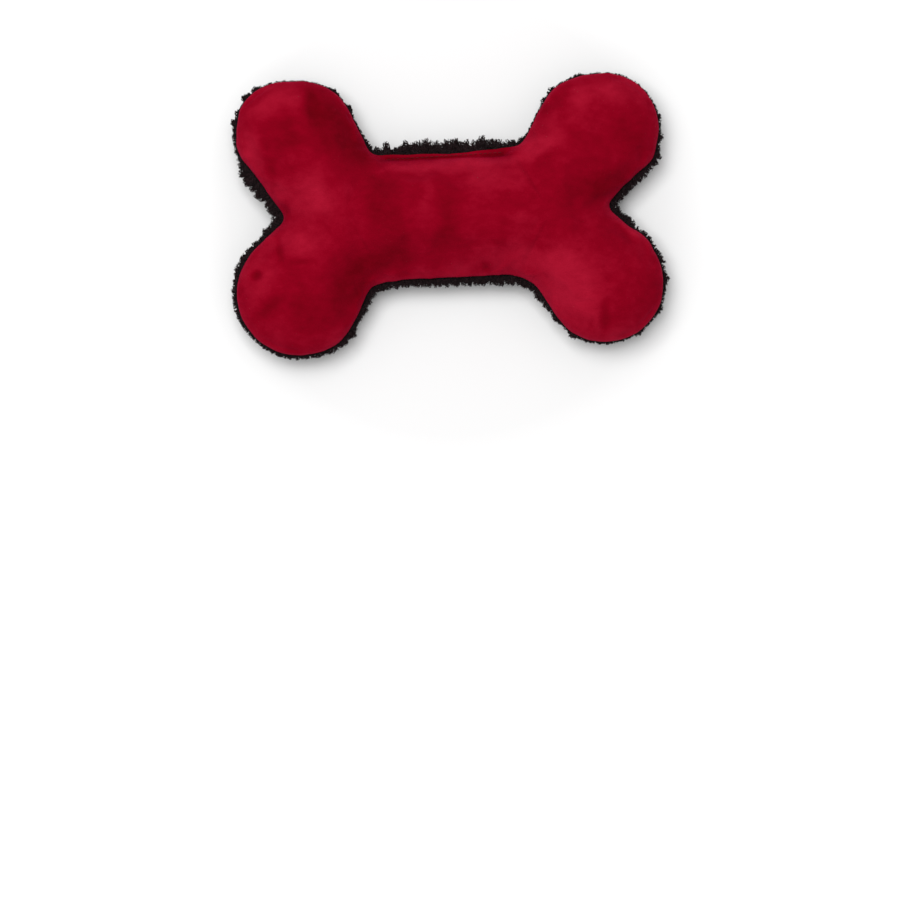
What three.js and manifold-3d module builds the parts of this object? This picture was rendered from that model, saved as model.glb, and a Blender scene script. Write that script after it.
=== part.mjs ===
// A squeaky plush bone for a dog. A smooth red cloth panel and a shaggy black one are sewn together round
// their edge, turned right side out, filled with fibre round a squeaker and topstitched shut at the waist.
// Millimetres, +Z up, +X along the bone. It lies on its shaggy side, with the origin on the floor under its
// middle.
import * as THREE from "three";
import Module from "manifold-3d";

const wasm = await Module();
wasm.setup();

// Driving sizes of the outline, along the sewn edge
const KNUCKLE_REACH = 99; // from the middle of the bone to the knuckles' centres, along X
const KNUCKLE_RADIUS = 37;
const KNUCKLE_GAP = 26; // between the two knuckles of an end, across their notch
const CORNER_SETBACK = 21; // from a knuckle's inner side to the middle of the corner's curve, along X
const NOTCH_ADVANCE = 5; // from the knuckles' centres out to the tip of the notch between them
const FORK_SETBACK = 35; // from the knuckles' centres in to where their crown lines meet the waist's
const WAIST_HALF_WIDTH = 40.4;
const WAIST_DROP = 3.6; // the closing seam takes up cloth, so the waist sits this far towards its other edge
const CORNER_RADIUS = 14;
const NOTCH_RADIUS = 5;

// Driving sizes of the stuffed thickness
const SEAM_HEIGHT = 25; // the sewn edge above the floor
const WAIST_RISE = 29.5; // crown of the red side above the sewn edge
const KNUCKLE_RISE = 24.8;
// How a side swells from its seam to its crown line: fullness, then tautness. Fullness 0.5 is a half ellipse
// and 1 a shallow lens. Tautness is the share by which cloth drawn straight to the crown takes over.
const KNUCKLE_SWELL = [0.55, 0];
const HOLLOW_SWELL = [0.72, 0.45]; // at the corners and the notches
const OUTER_FLANK_SWELL = [0.85, 0]; // between a corner and its knuckle
const INNER_FLANK_SWELL = [0.72, 0.6]; // between a notch and its knuckle
const CLOSED_FLANK_SWELL = [0.8, 0]; // the waist's side at the closing seam
const FREE_FLANK_SWELL = [0.96, 0.2]; // the waist's other side
const FLANK_RUN_IN = 0.24; // share of the waist's edge over which its own swell takes over at each end
const BACK_SWELL = [0.62, 0]; // the shaggy side
const WAD_LEANNESS = 0.04; // added to a wad's fullness, so that it swells less than its cloth
const FOOT_SETTLE = 0.5; // how far the underside is pressed flat by its own weight

// Cloth, seams and thread
const CLOTH = 1.6; // the red panel with its short nap, and the backing of the shaggy panel
const PILE = 7; // mean height of the shaggy locks over their backing
const PILE_OVERHANG = 2.5; // how far the locks stand out past the sewn edge
const SEAM_ALLOWANCE = 6; // cloth turned inwards behind the seam
const CLOSING_LIP = 3.2; // flat edge outside the topstitching
const THREAD_RADIUS = 0.35;
const STITCH_LENGTH = 3;
const STITCH_RISE = 0.3; // each topstitch bows up this far between its needle holes
const CLEARANCE = 0.3; // between pieces that touch
const FILL_INSET = 2.8; // from the sewn edge to the filling

// Squeaker, a blown bulb with a reed in its neck
const BULB_LENGTH = 40;
const BULB_RADIUS = 15;
const BULB_WALL = 0.9;
const NECK_RADIUS = 6.3;
const NECK_LENGTH = 6;
const HOUSING_FLANGE = 1.2;
const HOUSING_LENGTH = 10;
const HOUSING_WALL = 1.5;
const CHANNEL_WIDTH = 2.4;
const CHANNEL_DEPTH = 1.7;
const REED_LENGTH = 8.4;
const REED_WIDTH = 4.2;
const REED_THICKNESS = 0.25;
const REED_CLAMPED = 3.8; // length of the reed that the wedge holds down
const CUT_OVERRUN = 1; // how far a cutting tool runs past what it cuts

const KNUCKLE_SPREAD = KNUCKLE_RADIUS + KNUCKLE_GAP / 2; // from the long centre line to the knuckles' centres
const WAIST_HALF_LENGTH = KNUCKLE_REACH - KNUCKLE_RADIUS - CORNER_SETBACK;
const NOTCH_REACH = KNUCKLE_REACH + NOTCH_ADVANCE;

// The crown line runs along the waist and forks at a joint near each end, from where it runs to both knuckles
const joint = (end) => new THREE.Vector2(end * (KNUCKLE_REACH - FORK_SETBACK), -WAIST_DROP);

// The outline is a belt round wheels, counter-clockwise from the lower right knuckle. It bulges outwards
// round a knuckle's wheels and is drawn inwards round the others. The shares say how far each wheel strays
// from the plain pattern, as the sewing and stuffing left it.
// For each wheel of a knuckle: of the knuckles' reach, of their spread and of their radius
const lowerRightKnuckleShares = [[1.006, -1.006, 1.02]];
const upperRightKnuckleShares = [
  [1.02, 0.99, 0.97],
  [0.93, 1, 0.92],
];
const upperLeftKnuckleShares = [
  [-0.95, 1, 0.945],
  [-1.055, 1.06, 0.865],
];
const lowerLeftKnuckleShares = [[-0.987, -1.03, 1.086]];

// For each corner of the waist: of the waist's half length, of its half width and of the corner's radius
const upperRightCornerShares = [0.97, 1.035, 0.9];
const upperLeftCornerShares = [-1.06, 0.96, 0.6];
const lowerLeftCornerShares = [-0.98, -1.02, 1.14];
const lowerRightCornerShares = [1.01, -0.97, 1.14];

// For the notch of each end: of its reach, and of its radius upwards
const rightNotchShares = [0.984, 0.16];
const leftNotchShares = [-1.021, -0.54];

// A knuckle's crown line ends at the middle of its own wheels
function knuckle(wheelShares) {
  const own = wheelShares.map(([reach, spread, radius]) => ({
    inward: false,
    centre: new THREE.Vector2(reach * KNUCKLE_REACH, spread * KNUCKLE_SPREAD),
    radius: radius * KNUCKLE_RADIUS,
    rise: KNUCKLE_RISE,
    swell: KNUCKLE_SWELL,
  }));
  const sum = own.reduce((total, wheel) => total.add(wheel.centre), new THREE.Vector2());
  return own.map((wheel) => ({ ...wheel, spine: sum.clone().divideScalar(own.length) }));
}

function corner([length, width, radiusShare]) {
  const radius = radiusShare * CORNER_RADIUS;
  const edge = width * WAIST_HALF_WIDTH - WAIST_DROP;
  const centre = new THREE.Vector2(length * WAIST_HALF_LENGTH, edge + Math.sign(width) * radius);
  const spine = joint(Math.sign(length));
  return { inward: true, centre, radius, spine, rise: WAIST_RISE, swell: HOLLOW_SWELL };
}

function notch([reach, lift]) {
  const end = Math.sign(reach);
  const centre = new THREE.Vector2(reach * NOTCH_REACH + end * NOTCH_RADIUS, lift * NOTCH_RADIUS);
  const own = { radius: NOTCH_RADIUS, spine: joint(end), rise: WAIST_RISE, swell: HOLLOW_SWELL };
  return { inward: true, centre, ...own };
}

const lowerRight = knuckle(lowerRightKnuckleShares);
const upperRight = knuckle(upperRightKnuckleShares);
const upperLeft = knuckle(upperLeftKnuckleShares);
const lowerLeft = knuckle(lowerLeftKnuckleShares);
const wheels = [
  ...lowerRight,
  notch(rightNotchShares),
  ...upperRight,
  corner(upperRightCornerShares),
  corner(upperLeftCornerShares),
  ...upperLeft,
  notch(leftNotchShares),
  ...lowerLeft,
  corner(lowerLeftCornerShares),
  corner(lowerRightCornerShares),
];

const OUTWARD_STEPS_PER_TURN = 19;
const INWARD_STEPS_PER_TURN = 11;
const BRANCH_SHARES = [0.33, 0.67]; // along each straight edge between a knuckle and a notch or a corner
const WAIST_SHARES = [0.06, 0.24, 0.41, 0.59, 0.76, 0.94]; // along each long edge of the waist
const { lerp } = THREE.MathUtils;
const turned = (a) => THREE.MathUtils.euclideanModulo(a, 2 * Math.PI);
const along = (angle) => new THREE.Vector2(Math.cos(angle), Math.sin(angle));
const bend = (wheel) => (wheel.inward ? -wheel.radius : wheel.radius);

// Direction square to the straight run between two wheels, pointing out of the bone
function normalAngle(from, to) {
  const run = to.centre.clone().sub(from.centre);
  const lean = Math.acos((bend(from) - bend(to)) / run.length());
  return Math.atan2(run.y, run.x) - lean;
}

const ROOM_SHARE = 0.7; // of an inward wheel's radius, which the pile can fill
const room = (wheel) => (wheel.inward ? ROOM_SHARE * wheel.radius : PILE_OVERHANG);
const rim = (wheel, angle) => wheel.centre.clone().addScaledVector(along(angle), bend(wheel));

// Stations round the outline: a point on the sewn edge, the way out, the crown point it faces, the rise
// there and the swell on the way up. room limits how far the pile can stand out where the edge is drawn
// in.
function arcStations(wheel, arrive, leave) {
  const sweep = wheel.inward ? -turned(arrive - leave) : turned(leave - arrive);
  const stepsPerTurn = wheel.inward ? INWARD_STEPS_PER_TURN : OUTWARD_STEPS_PER_TURN;
  const steps = Math.ceil((Math.abs(sweep) / (2 * Math.PI)) * stepsPerTurn);
  const { spine, rise, swell } = wheel;
  const shared = { spine, rise, swell, room: room(wheel) };
  return Array.from({ length: steps + 1 }, (_, k) => {
    const angle = arrive + (sweep * k) / steps;
    return { ...shared, point: rim(wheel, angle), normal: along(angle) };
  });
}

// Swell of a straight edge's flank, and the share of its length over which that takes over at each end
function flank(wheel, next) {
  if (wheel.inward && next.inward) {
    return [wheel.centre.y > 0 ? CLOSED_FLANK_SWELL : FREE_FLANK_SWELL, FLANK_RUN_IN];
  }
  const inner = [wheel, next].some((one) => one.inward && one.radius === NOTCH_RADIUS);
  return [inner ? INNER_FLANK_SWELL : OUTER_FLANK_SWELL, BRANCH_SHARES[0]];
}
const blend = (from, to, share) => from.map((value, k) => lerp(value, to[k], share));

function edgeStations(wheel, next, angle) {
  const [own, runIn] = flank(wheel, next);
  const taken = (share) => Math.min(1, share / runIn, (1 - share) / runIn);
  const waist = wheel.inward && next.inward;
  const branch = wheel.inward !== next.inward;
  const closing = waist && wheel.centre.y > 0;
  const shares = waist ? WAIST_SHARES : branch ? BRANCH_SHARES : [];
  return shares.map((share) => ({
    point: rim(wheel, angle).lerp(rim(next, angle), share),
    normal: along(angle),
    spine: wheel.spine.clone().lerp(next.spine, share),
    rise: lerp(wheel.rise, next.rise, share),
    swell: blend(blend(wheel.swell, next.swell, share), own, taken(share)),
    room: lerp(room(wheel), room(next), share),
    closing,
  }));
}

const stations = wheels.flatMap((wheel, i) => {
  const before = wheels[(i + wheels.length - 1) % wheels.length];
  const next = wheels[(i + 1) % wheels.length];
  const leave = normalAngle(wheel, next);
  return [...arcStations(wheel, normalAngle(before, wheel), leave), ...edgeStations(wheel, next, leave)];
});

// Heights of the two cloths' faces at the seam, whose thread lies in the nap trapped between them
const SEAM_GAP = THREAD_RADIUS + CLEARANCE;
const FRONT_UNDER = SEAM_HEIGHT + SEAM_GAP;
const FRONT_UPPER = FRONT_UNDER + CLOTH;
const BACK_UPPER = SEAM_HEIGHT - SEAM_GAP;
const BACK_UNDER = BACK_UPPER - CLOTH;

// A rail is one ring of points round the bone, inset from the sewn edge and lying at one height
const inset = (station, depth) => station.point.clone().addScaledVector(station.normal, -depth);
const at = (flat, height) => new THREE.Vector3(flat.x, flat.y, height);
const lip = (station) => (station.closing ? CLOSING_LIP : 0);
const rail = (depth, height) => stations.map((s) => at(inset(s, depth + lip(s)), height));
const edgeRail = (height) => stations.map((s) => at(s.point, height));

// A stuffed sheet rises from the seam to the crown line like a pillow
const risen = (share, [fullness, taut]) => lerp((1 - (1 - share) ** 2) ** fullness, Math.sqrt(share), taut);
const redCrown = (drop) => (s) => SEAM_HEIGHT + s.rise - drop;
const leaner = ([fullness, taut]) => [fullness + WAD_LEANNESS, taut];
const level = (height) => () => height;
function sheet(depth, start, crown, swell, shares) {
  return shares.map((share) =>
    stations.map((s) => {
      const flat = inset(s, depth + lip(s)).lerp(s.spine, share);
      return at(flat, lerp(start, crown(s), risen(share, swell(s))));
    }),
  );
}
const OUTER_SHARES = [0, 0.07, 0.25, 0.52, 0.78, 1];
const FOOT_SHARES = [0, 0.1, 0.33, 0.6, 0.82, 1];
const INNER_SHARES = [0, 0.2, 0.58, 1];
const FLOOR_SHARES = [0, 0.3, 1];

// Corners that lie this close are one
const WELD_DISTANCE = 1e-3;
function welder() {
  const points = [];
  const weld = (point) => {
    const found = points.findIndex((known) => known.distanceTo(point) < WELD_DISTANCE);
    if (found >= 0) return found;
    points.push(point);
    return points.indexOf(point);
  };
  return { points, weld };
}

function indexed(points, triangles) {
  const whole = triangles.filter(([a, b, c]) => a !== b && b !== c && c !== a);
  return new THREE.BufferGeometry().setFromPoints(points).setIndex(whole.flat());
}

// Joins a chain of rails, from one crown line over the rim to the other, into one closed skin. Each four
// corners are folded along their higher diagonal, so that sheets laid one over another fold alike.
function skin(rails) {
  const { points, weld } = welder();
  const rings = rails.map((ring) => ring.map(weld));
  const height = (a, b) => points[a].z + points[b].z;
  const triangles = rings.slice(1).flatMap((upper, j) =>
    upper.flatMap((_, i) => {
      const lower = rings[j];
      const k = (i + 1) % upper.length;
      const rising = height(lower[i], upper[k]) > height(lower[k], upper[i]);
      const [from, to] = rising ? [i, k] : [k, i];
      return [
        [lower[i], lower[k], upper[to]],
        [lower[from], upper[k], upper[i]],
      ];
    }),
  );
  return indexed(points, triangles);
}

// Boolean cuts
function solid(geometry) {
  const { points, weld } = welder();
  const corners = geometry.index ? geometry.toNonIndexed() : geometry;
  const position = corners.attributes.position;
  const welded = Array.from({ length: position.count }, (_, k) =>
    weld(new THREE.Vector3().fromBufferAttribute(position, k)),
  );
  const triangles = Array.from({ length: welded.length / 3 }, (_, k) => welded.slice(3 * k, 3 * k + 3));
  const merged = indexed(points, triangles);
  const vertProperties = merged.attributes.position.array;
  const triVerts = new Uint32Array(merged.index.array);
  return new wasm.Manifold(new wasm.Mesh({ numProp: 3, vertProperties, triVerts }));
}
function geometryOf(body) {
  const mesh = body.getMesh();
  return new THREE.BufferGeometry()
    .setAttribute("position", new THREE.BufferAttribute(new Float32Array(mesh.vertProperties), 3))
    .setIndex(new THREE.BufferAttribute(new Uint32Array(mesh.triVerts), 1));
}

// Materials
const finish = (color, roughness) => new THREE.MeshStandardMaterial({ color, roughness, metalness: 0 });
const redNap = finish(0x8a0a20, 0.9);
const blackPile = finish(0x1b1214, 1);
const redThread = finish(0x7a0a1c, 0.7);
const blackThread = finish(0x1b1214, 0.7);
const fibre = finish(0xece9e2, 1);
const softPlastic = finish(0xe4e2da, 0.45);
const hardPlastic = finish(0xf2f1ec, 0.35);
const reedFilm = finish(0xdfe6ea, 0.25);

const bone = new THREE.Group();
const lain = new THREE.Group(); // holds every piece, moved so that the origin is under the middle
bone.add(lain);
function place(name, geometry, material) {
  const mesh = new THREE.Mesh(geometry, material);
  mesh.name = name;
  lain.add(mesh);
}

// The red panel: a crowned shell with its allowance turned in behind the seam
place(
  "front_panel",
  skin([
    ...sheet(CLOTH, FRONT_UPPER, redCrown(CLOTH), (s) => s.swell, INNER_SHARES).reverse(),
    rail(SEAM_ALLOWANCE, FRONT_UPPER),
    rail(SEAM_ALLOWANCE, FRONT_UNDER),
    edgeRail(FRONT_UNDER),
    edgeRail(FRONT_UPPER),
    ...sheet(0, FRONT_UPPER, redCrown(0), (s) => s.swell, OUTER_SHARES),
  ]),
  redNap,
);

// The shaggy panel: its outer face is the mean surface of the locks, which roll out past the seam,
// and it is pressed flat where it rests
const PILE_ROLL_SHARE = 0.75; // of the overhang, reached just below the seam
const overhang = (station) => Math.min(PILE_OVERHANG, station.room);
const fringe = (share, height) => stations.map((s) => at(inset(s, -share * overhang(s)), height));
const pileFace = FOOT_SHARES.map((share) =>
  stations.map((s) => {
    const flat = inset(s, -overhang(s)).lerp(s.spine, share);
    const full = risen(share, BACK_SWELL);
    const height = lerp(BACK_UNDER - PILE_OVERHANG, -FOOT_SETTLE, full);
    return at(flat, Math.max(0, height));
  }),
);
const backInside = CLOTH + PILE;
place(
  "back_panel",
  skin([
    ...pileFace.reverse(),
    fringe(1, BACK_UNDER),
    fringe(PILE_ROLL_SHARE, BACK_UPPER - CLEARANCE),
    edgeRail(BACK_UPPER),
    rail(SEAM_ALLOWANCE, BACK_UPPER),
    rail(SEAM_ALLOWANCE, BACK_UNDER),
    ...sheet(CLOTH, BACK_UNDER, level(backInside), () => BACK_SWELL, FLOOR_SHARES),
  ]),
  blackPile,
);

// Fibre filling, one wad in each knuckle and one in the waist, with a groove round it for the allowances
const wadTop = redCrown(CLOTH + CLEARANCE);
const wadBottom = level(backInside + CLEARANCE);
const wadLower = () => leaner(BACK_SWELL);
const wadUpper = (s) => leaner(s.swell);
const filling = solid(
  skin([
    ...sheet(FILL_INSET, BACK_UNDER - CLEARANCE, wadBottom, wadLower, FLOOR_SHARES).reverse(),
    rail(SEAM_ALLOWANCE + CLEARANCE, BACK_UNDER - CLEARANCE),
    rail(SEAM_ALLOWANCE + CLEARANCE, FRONT_UPPER + CLEARANCE),
    ...sheet(FILL_INSET, FRONT_UPPER + CLEARANCE, wadTop, wadUpper, INNER_SHARES),
  ]),
);

// A block that covers one knuckle, from a cut square to its crown line outwards. gap draws it back.
// The cut runs from the waist's corner to the notch.
const KNUCKLE_CUT_SHARE = 0.42; // of the way from the joint to the knuckle's centre
const COVER = 2 * (KNUCKLE_REACH + KNUCKLE_SPREAD + KNUCKLE_RADIUS);
function knuckleRegion(centre, gap) {
  const root = joint(Math.sign(centre.x));
  const run = centre.clone().sub(root);
  const cut = root.addScaledVector(run, KNUCKLE_CUT_SHARE).addScaledVector(run.clone().normalize(), gap);
  const outside = new THREE.BoxGeometry(COVER, COVER, COVER);
  outside.translate(COVER / 2, 0, 0);
  outside.rotateZ(run.angle());
  outside.translate(cut.x, cut.y, 0);
  const half = new THREE.BoxGeometry(COVER, COVER, COVER);
  half.translate(0, Math.sign(centre.y) * (COVER / 2 + gap), 0);
  return solid(outside).intersect(solid(half));
}
const knuckleCentres = {
  upper_left: upperLeft[0].spine,
  lower_left: lowerLeft[0].spine,
  upper_right: upperRight[0].spine,
  lower_right: lowerRight[0].spine,
};
let waistWad = filling;
for (const [name, centre] of Object.entries(knuckleCentres)) {
  const wad = filling.intersect(knuckleRegion(centre, CLEARANCE / 2));
  place(`filling_knuckle_${name}`, geometryOf(wad), fibre);
  waistWad = waistWad.subtract(knuckleRegion(centre, -CLEARANCE / 2));
}

// Squeaker bulb, revolved round the bone's long axis, with its neck to the right
const SQUEAKER_HEIGHT = (backInside + SEAM_HEIGHT + WAIST_RISE - CLOTH) / 2;
const SQUEAKER_SIDES = 20;
const BULB_ARC_STEPS = 6;
const shoulder = BULB_LENGTH / 2 - NECK_LENGTH;
const dome = BULB_LENGTH / 2;
function bulbProfile(shrink) {
  const radius = BULB_RADIUS - shrink;
  const points = [];
  for (let k = 0; k <= BULB_ARC_STEPS; k++) {
    const angle = (k / BULB_ARC_STEPS) * (Math.PI / 2);
    points.push(new THREE.Vector2(radius * Math.sin(angle), -(dome - shrink) * Math.cos(angle)));
  }
  const neck = NECK_RADIUS - shrink;
  const throat = shoulder - shrink;
  for (let k = 1; k < BULB_ARC_STEPS; k++) {
    const angle = (k / BULB_ARC_STEPS) * (Math.PI / 2);
    points.push(new THREE.Vector2(neck + (radius - neck) * Math.cos(angle), throat * Math.sin(angle)));
  }
  points.push(new THREE.Vector2(neck, throat), new THREE.Vector2(neck, shoulder + NECK_LENGTH));
  return points;
}
function revolve(profile) {
  const turnedBody = new THREE.LatheGeometry(profile, SQUEAKER_SIDES);
  turnedBody.rotateZ(-Math.PI / 2);
  turnedBody.translate(0, -WAIST_DROP, SQUEAKER_HEIGHT);
  return turnedBody;
}
place("squeaker_bulb", revolve([...bulbProfile(0), ...bulbProfile(BULB_WALL).reverse()]), softPlastic);

// Reed housing: a flanged tube pushed into the neck
const mouth = shoulder + NECK_LENGTH;
const flangeInner = mouth + CLEARANCE;
const flangeOuter = flangeInner + HOUSING_FLANGE;
const housingInner = flangeOuter - HOUSING_LENGTH;
const barrelRadius = NECK_RADIUS - BULB_WALL - CLEARANCE;
const boreRadius = barrelRadius - HOUSING_WALL;
const ring = (points) => revolve(points.map(([radius, x]) => new THREE.Vector2(radius, x)));
place(
  "reed_housing",
  ring([
    [boreRadius, housingInner],
    [barrelRadius, housingInner],
    [barrelRadius, flangeInner],
    [NECK_RADIUS, flangeInner],
    [NECK_RADIUS, flangeOuter],
    [boreRadius, flangeOuter],
    [boreRadius, housingInner],
  ]),
  hardPlastic,
);

// Reed seat and wedge: two part-round plugs in the housing's bore, with the reed between their flat faces
const plugRadius = boreRadius - CLEARANCE;
const plugInner = housingInner + CLEARANCE;
const plugOuter = flangeOuter - CLEARANCE;
const reedUnder = SQUEAKER_HEIGHT - REED_THICKNESS / 2;
const reedUpper = reedUnder + REED_THICKNESS;
const PLUG_SIDES = 12;
function plug(from, to, faceAngle) {
  const half = new THREE.Shape();
  half.absarc(0, 0, plugRadius, faceAngle, Math.PI - faceAngle, false);
  const depth = to - from;
  const curveSegments = PLUG_SIDES;
  const body = new THREE.ExtrudeGeometry(half, { depth, bevelEnabled: false, curveSegments });
  return body.rotateZ(Math.PI / 2).rotateY(Math.PI / 2);
}
const faceAngle = Math.asin((REED_THICKNESS / 2 + CLEARANCE) / plugRadius);
function seated(body, upwards, from) {
  if (!upwards) body.rotateX(Math.PI);
  return body.translate(from, -WAIST_DROP, SQUEAKER_HEIGHT);
}
function block(from, to, width, bottom, top) {
  const box = new THREE.BoxGeometry(to - from, width, top - bottom);
  return box.translate((from + to) / 2, -WAIST_DROP, (bottom + top) / 2);
}
const reedRoot = plugOuter - CLEARANCE;
const reedTip = reedRoot - REED_LENGTH;
const channelTop = reedUnder - CLEARANCE;
const channel = block(
  reedTip + CHANNEL_WIDTH / 2,
  plugOuter + CUT_OVERRUN,
  CHANNEL_WIDTH,
  channelTop - CHANNEL_DEPTH,
  channelTop + CUT_OVERRUN,
);
const seat = solid(seated(plug(plugInner, plugOuter, faceAngle), false, plugInner));
place("reed_seat", geometryOf(seat.subtract(solid(channel))), hardPlastic);
const wedgeInner = reedRoot - REED_CLAMPED;
place("reed_wedge", seated(plug(wedgeInner, plugOuter, faceAngle), true, wedgeInner), hardPlastic);
place("squeaker_reed", block(reedTip, reedRoot, REED_WIDTH, reedUnder, reedUpper), reedFilm);

// The waist wad closes round the squeaker. A slit runs to the closing seam, where the squeaker was pushed in.
const SLIT_WIDTH = 26;
const SLIT_HEIGHT = 2;
const pocket = revolve([
  ...bulbProfile(-CLEARANCE).slice(0, -1),
  new THREE.Vector2(NECK_RADIUS + CLEARANCE, flangeOuter + CLEARANCE),
  new THREE.Vector2(0, flangeOuter + CLEARANCE),
]);
const slit = new THREE.BoxGeometry(SLIT_WIDTH, WAIST_HALF_WIDTH, SLIT_HEIGHT);
slit.translate(0, WAIST_HALF_WIDTH / 2 - WAIST_DROP, SQUEAKER_HEIGHT);
place("filling_waist", geometryOf(waistWad.subtract(solid(pocket)).subtract(solid(slit))), fibre);

// Threads
const THREAD_HALF_SIDES = 3;
function thread(points, steps) {
  const section = new THREE.Shape();
  section.absarc(0, 0, THREAD_RADIUS, 0, 2 * Math.PI, false);
  const extrudePath = new THREE.CatmullRomCurve3(points);
  const curveSegments = THREAD_HALF_SIDES;
  return new THREE.ExtrudeGeometry(section, { steps, bevelEnabled: false, extrudePath, curveSegments });
}

// The seam runs from one end of the closing gap all the way round to the other, between the two cloths
const SEAM_INSET = 1.2;
const firstClosing = stations.findIndex((s) => s.closing);
const closingCount = stations.filter((s) => s.closing).length;
const sewn = stations.map((_, i) => stations[(firstClosing + closingCount + i) % stations.length]);
const seamStations = sewn.slice(0, stations.length - closingCount);
const seamLine = seamStations.map((s) => at(inset(s, SEAM_INSET), SEAM_HEIGHT));
place("seam_thread", thread(seamLine, seamLine.length), blackThread);

// The topstitching lies on the closing lip, close to where the red cloth starts to swell
const STITCH_EDGE = 1; // from the thread's middle to the swelling cloth
const STITCH_POINTS = 4; // along each stitch
const lipEnds = [stations[firstClosing], stations[firstClosing + closingCount - 1]];
const [stitchStart, stitchEnd] = lipEnds.map((s) => inset(s, CLOSING_LIP - STITCH_EDGE));
const stitchCount = Math.round(stitchStart.distanceTo(stitchEnd) / STITCH_LENGTH);
const stitches = [];
for (let k = 0; k <= stitchCount * STITCH_POINTS; k++) {
  const bow = STITCH_RISE * Math.abs(Math.sin((k / STITCH_POINTS) * Math.PI));
  const flat = stitchStart.clone().lerp(stitchEnd, k / (stitchCount * STITCH_POINTS));
  stitches.push(at(flat, FRONT_UPPER + CLEARANCE + THREAD_RADIUS + bow));
}
place("closing_topstitch", thread(stitches, stitches.length - 1), redThread);

// The origin is under the middle of the whole bone
const reach = new THREE.Box3().setFromObject(lain);
const middle = reach.getCenter(new THREE.Vector3());
lain.position.set(-middle.x, -middle.y, 0);

export default bone;
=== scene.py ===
# %% [markdown]
# # A squeaky plush bone
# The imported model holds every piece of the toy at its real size. This lesson dresses it: the smooth red
# panel, the shaggy black one, the stitches that close them, and the fibre and the squeaker inside.
# Everything is in metres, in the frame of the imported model. X runs along the bone, Y across it, and Z
# points up, out of the red face. The bone lies on its shaggy side.

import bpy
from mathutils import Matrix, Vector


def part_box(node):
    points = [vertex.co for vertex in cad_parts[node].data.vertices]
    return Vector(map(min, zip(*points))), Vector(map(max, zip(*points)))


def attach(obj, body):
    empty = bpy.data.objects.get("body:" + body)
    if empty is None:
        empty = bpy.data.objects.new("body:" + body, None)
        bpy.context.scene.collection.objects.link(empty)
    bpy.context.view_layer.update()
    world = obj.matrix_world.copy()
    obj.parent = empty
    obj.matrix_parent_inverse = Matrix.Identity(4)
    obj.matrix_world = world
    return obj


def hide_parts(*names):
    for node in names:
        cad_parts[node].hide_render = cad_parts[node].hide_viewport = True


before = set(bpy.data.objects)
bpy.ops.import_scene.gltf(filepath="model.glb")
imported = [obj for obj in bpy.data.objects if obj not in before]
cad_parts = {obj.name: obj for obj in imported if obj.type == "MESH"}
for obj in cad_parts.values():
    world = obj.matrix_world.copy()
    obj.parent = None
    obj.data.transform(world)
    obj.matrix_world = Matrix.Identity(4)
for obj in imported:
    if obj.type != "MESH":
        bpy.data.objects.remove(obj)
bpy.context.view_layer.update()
print("Packed nodes:", ", ".join(sorted(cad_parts)))

# %% Blender's modules and the unit
import math

import bmesh
import bpy
import numpy as np
from mathutils import Vector, geometry, noise
from mathutils.bvhtree import BVHTree

MM = 0.001
scene = bpy.context.scene
BODY = "bone"


def placed(name, data):
    """An object with this data, put in the scene at the origin."""
    piece = bpy.data.objects.new(name, data)
    scene.collection.objects.link(piece)
    return piece


# %% [markdown]
# ## Camera
# The photograph looks straight down on the bone. The toy lies a little turned and in the upper half of the
# picture, so the camera stands off to the side of the bone instead of over it. A long lens from well above
# keeps the outline true.

# %% Camera
PIXEL = 0.645 * MM
PICTURE_SIDE = 900
BONE_TURN = math.radians(1.47)
MIDDLE_PIXEL = (448.4, 214.4)
CAMERA_ABOVE_SEAM = 2400 * MM
seam_level = (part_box("seam_thread")[0].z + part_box("seam_thread")[1].z) / 2


def add_camera():
    """A camera over the middle of the picture, turned as the bone was."""
    right = Vector((math.cos(BONE_TURN), -math.sin(BONE_TURN), 0))
    up = Vector((math.sin(BONE_TURN), math.cos(BONE_TURN), 0))
    across, down = ((PICTURE_SIDE / 2 - place) * PIXEL for place in MIDDLE_PIXEL)
    data = bpy.data.cameras.new("camera")
    data.lens = data.sensor_width * CAMERA_ABOVE_SEAM / (PICTURE_SIDE * PIXEL)
    camera = placed("camera", data)
    camera.location = right * across - up * down
    camera.location.z = seam_level + CAMERA_ABOVE_SEAM
    camera.rotation_euler.z = -BONE_TURN
    scene.camera = camera
    return camera


print("Lens", round(add_camera().data.lens, 1), "mm")

# %% [markdown]
# ## Shader and geometry graphs
# Both kinds of node tree could be wired by hand, or link by link in Python. Here they read like formulas.
# A wire is one output socket, and a sum or a product of wires adds the Math node that works it out. Any
# other node comes from one method, which takes the node's type, what its sockets hold and its settings.


# %% A wire
class Wire:
    """One output socket of a graph. Arithmetic on it adds Math nodes."""

    def __init__(self, graph, socket):
        self.graph = graph
        self.socket = socket

    def other(self, name):
        """Another output of the same node."""
        return Wire(self.graph, self.socket.node.outputs[name])

    def math(self, operation, first, second):
        return self.graph.node("ShaderNodeMath", {0: first, 1: second}, operation=operation)

    def __add__(self, other):
        return self.math("ADD", self, other)

    def __sub__(self, other):
        return self.math("SUBTRACT", self, other)

    def __rsub__(self, other):
        return self.math("SUBTRACT", other, self)

    def __mul__(self, other):
        return self.math("MULTIPLY", self, other)

    __radd__ = __add__
    __rmul__ = __mul__


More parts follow.
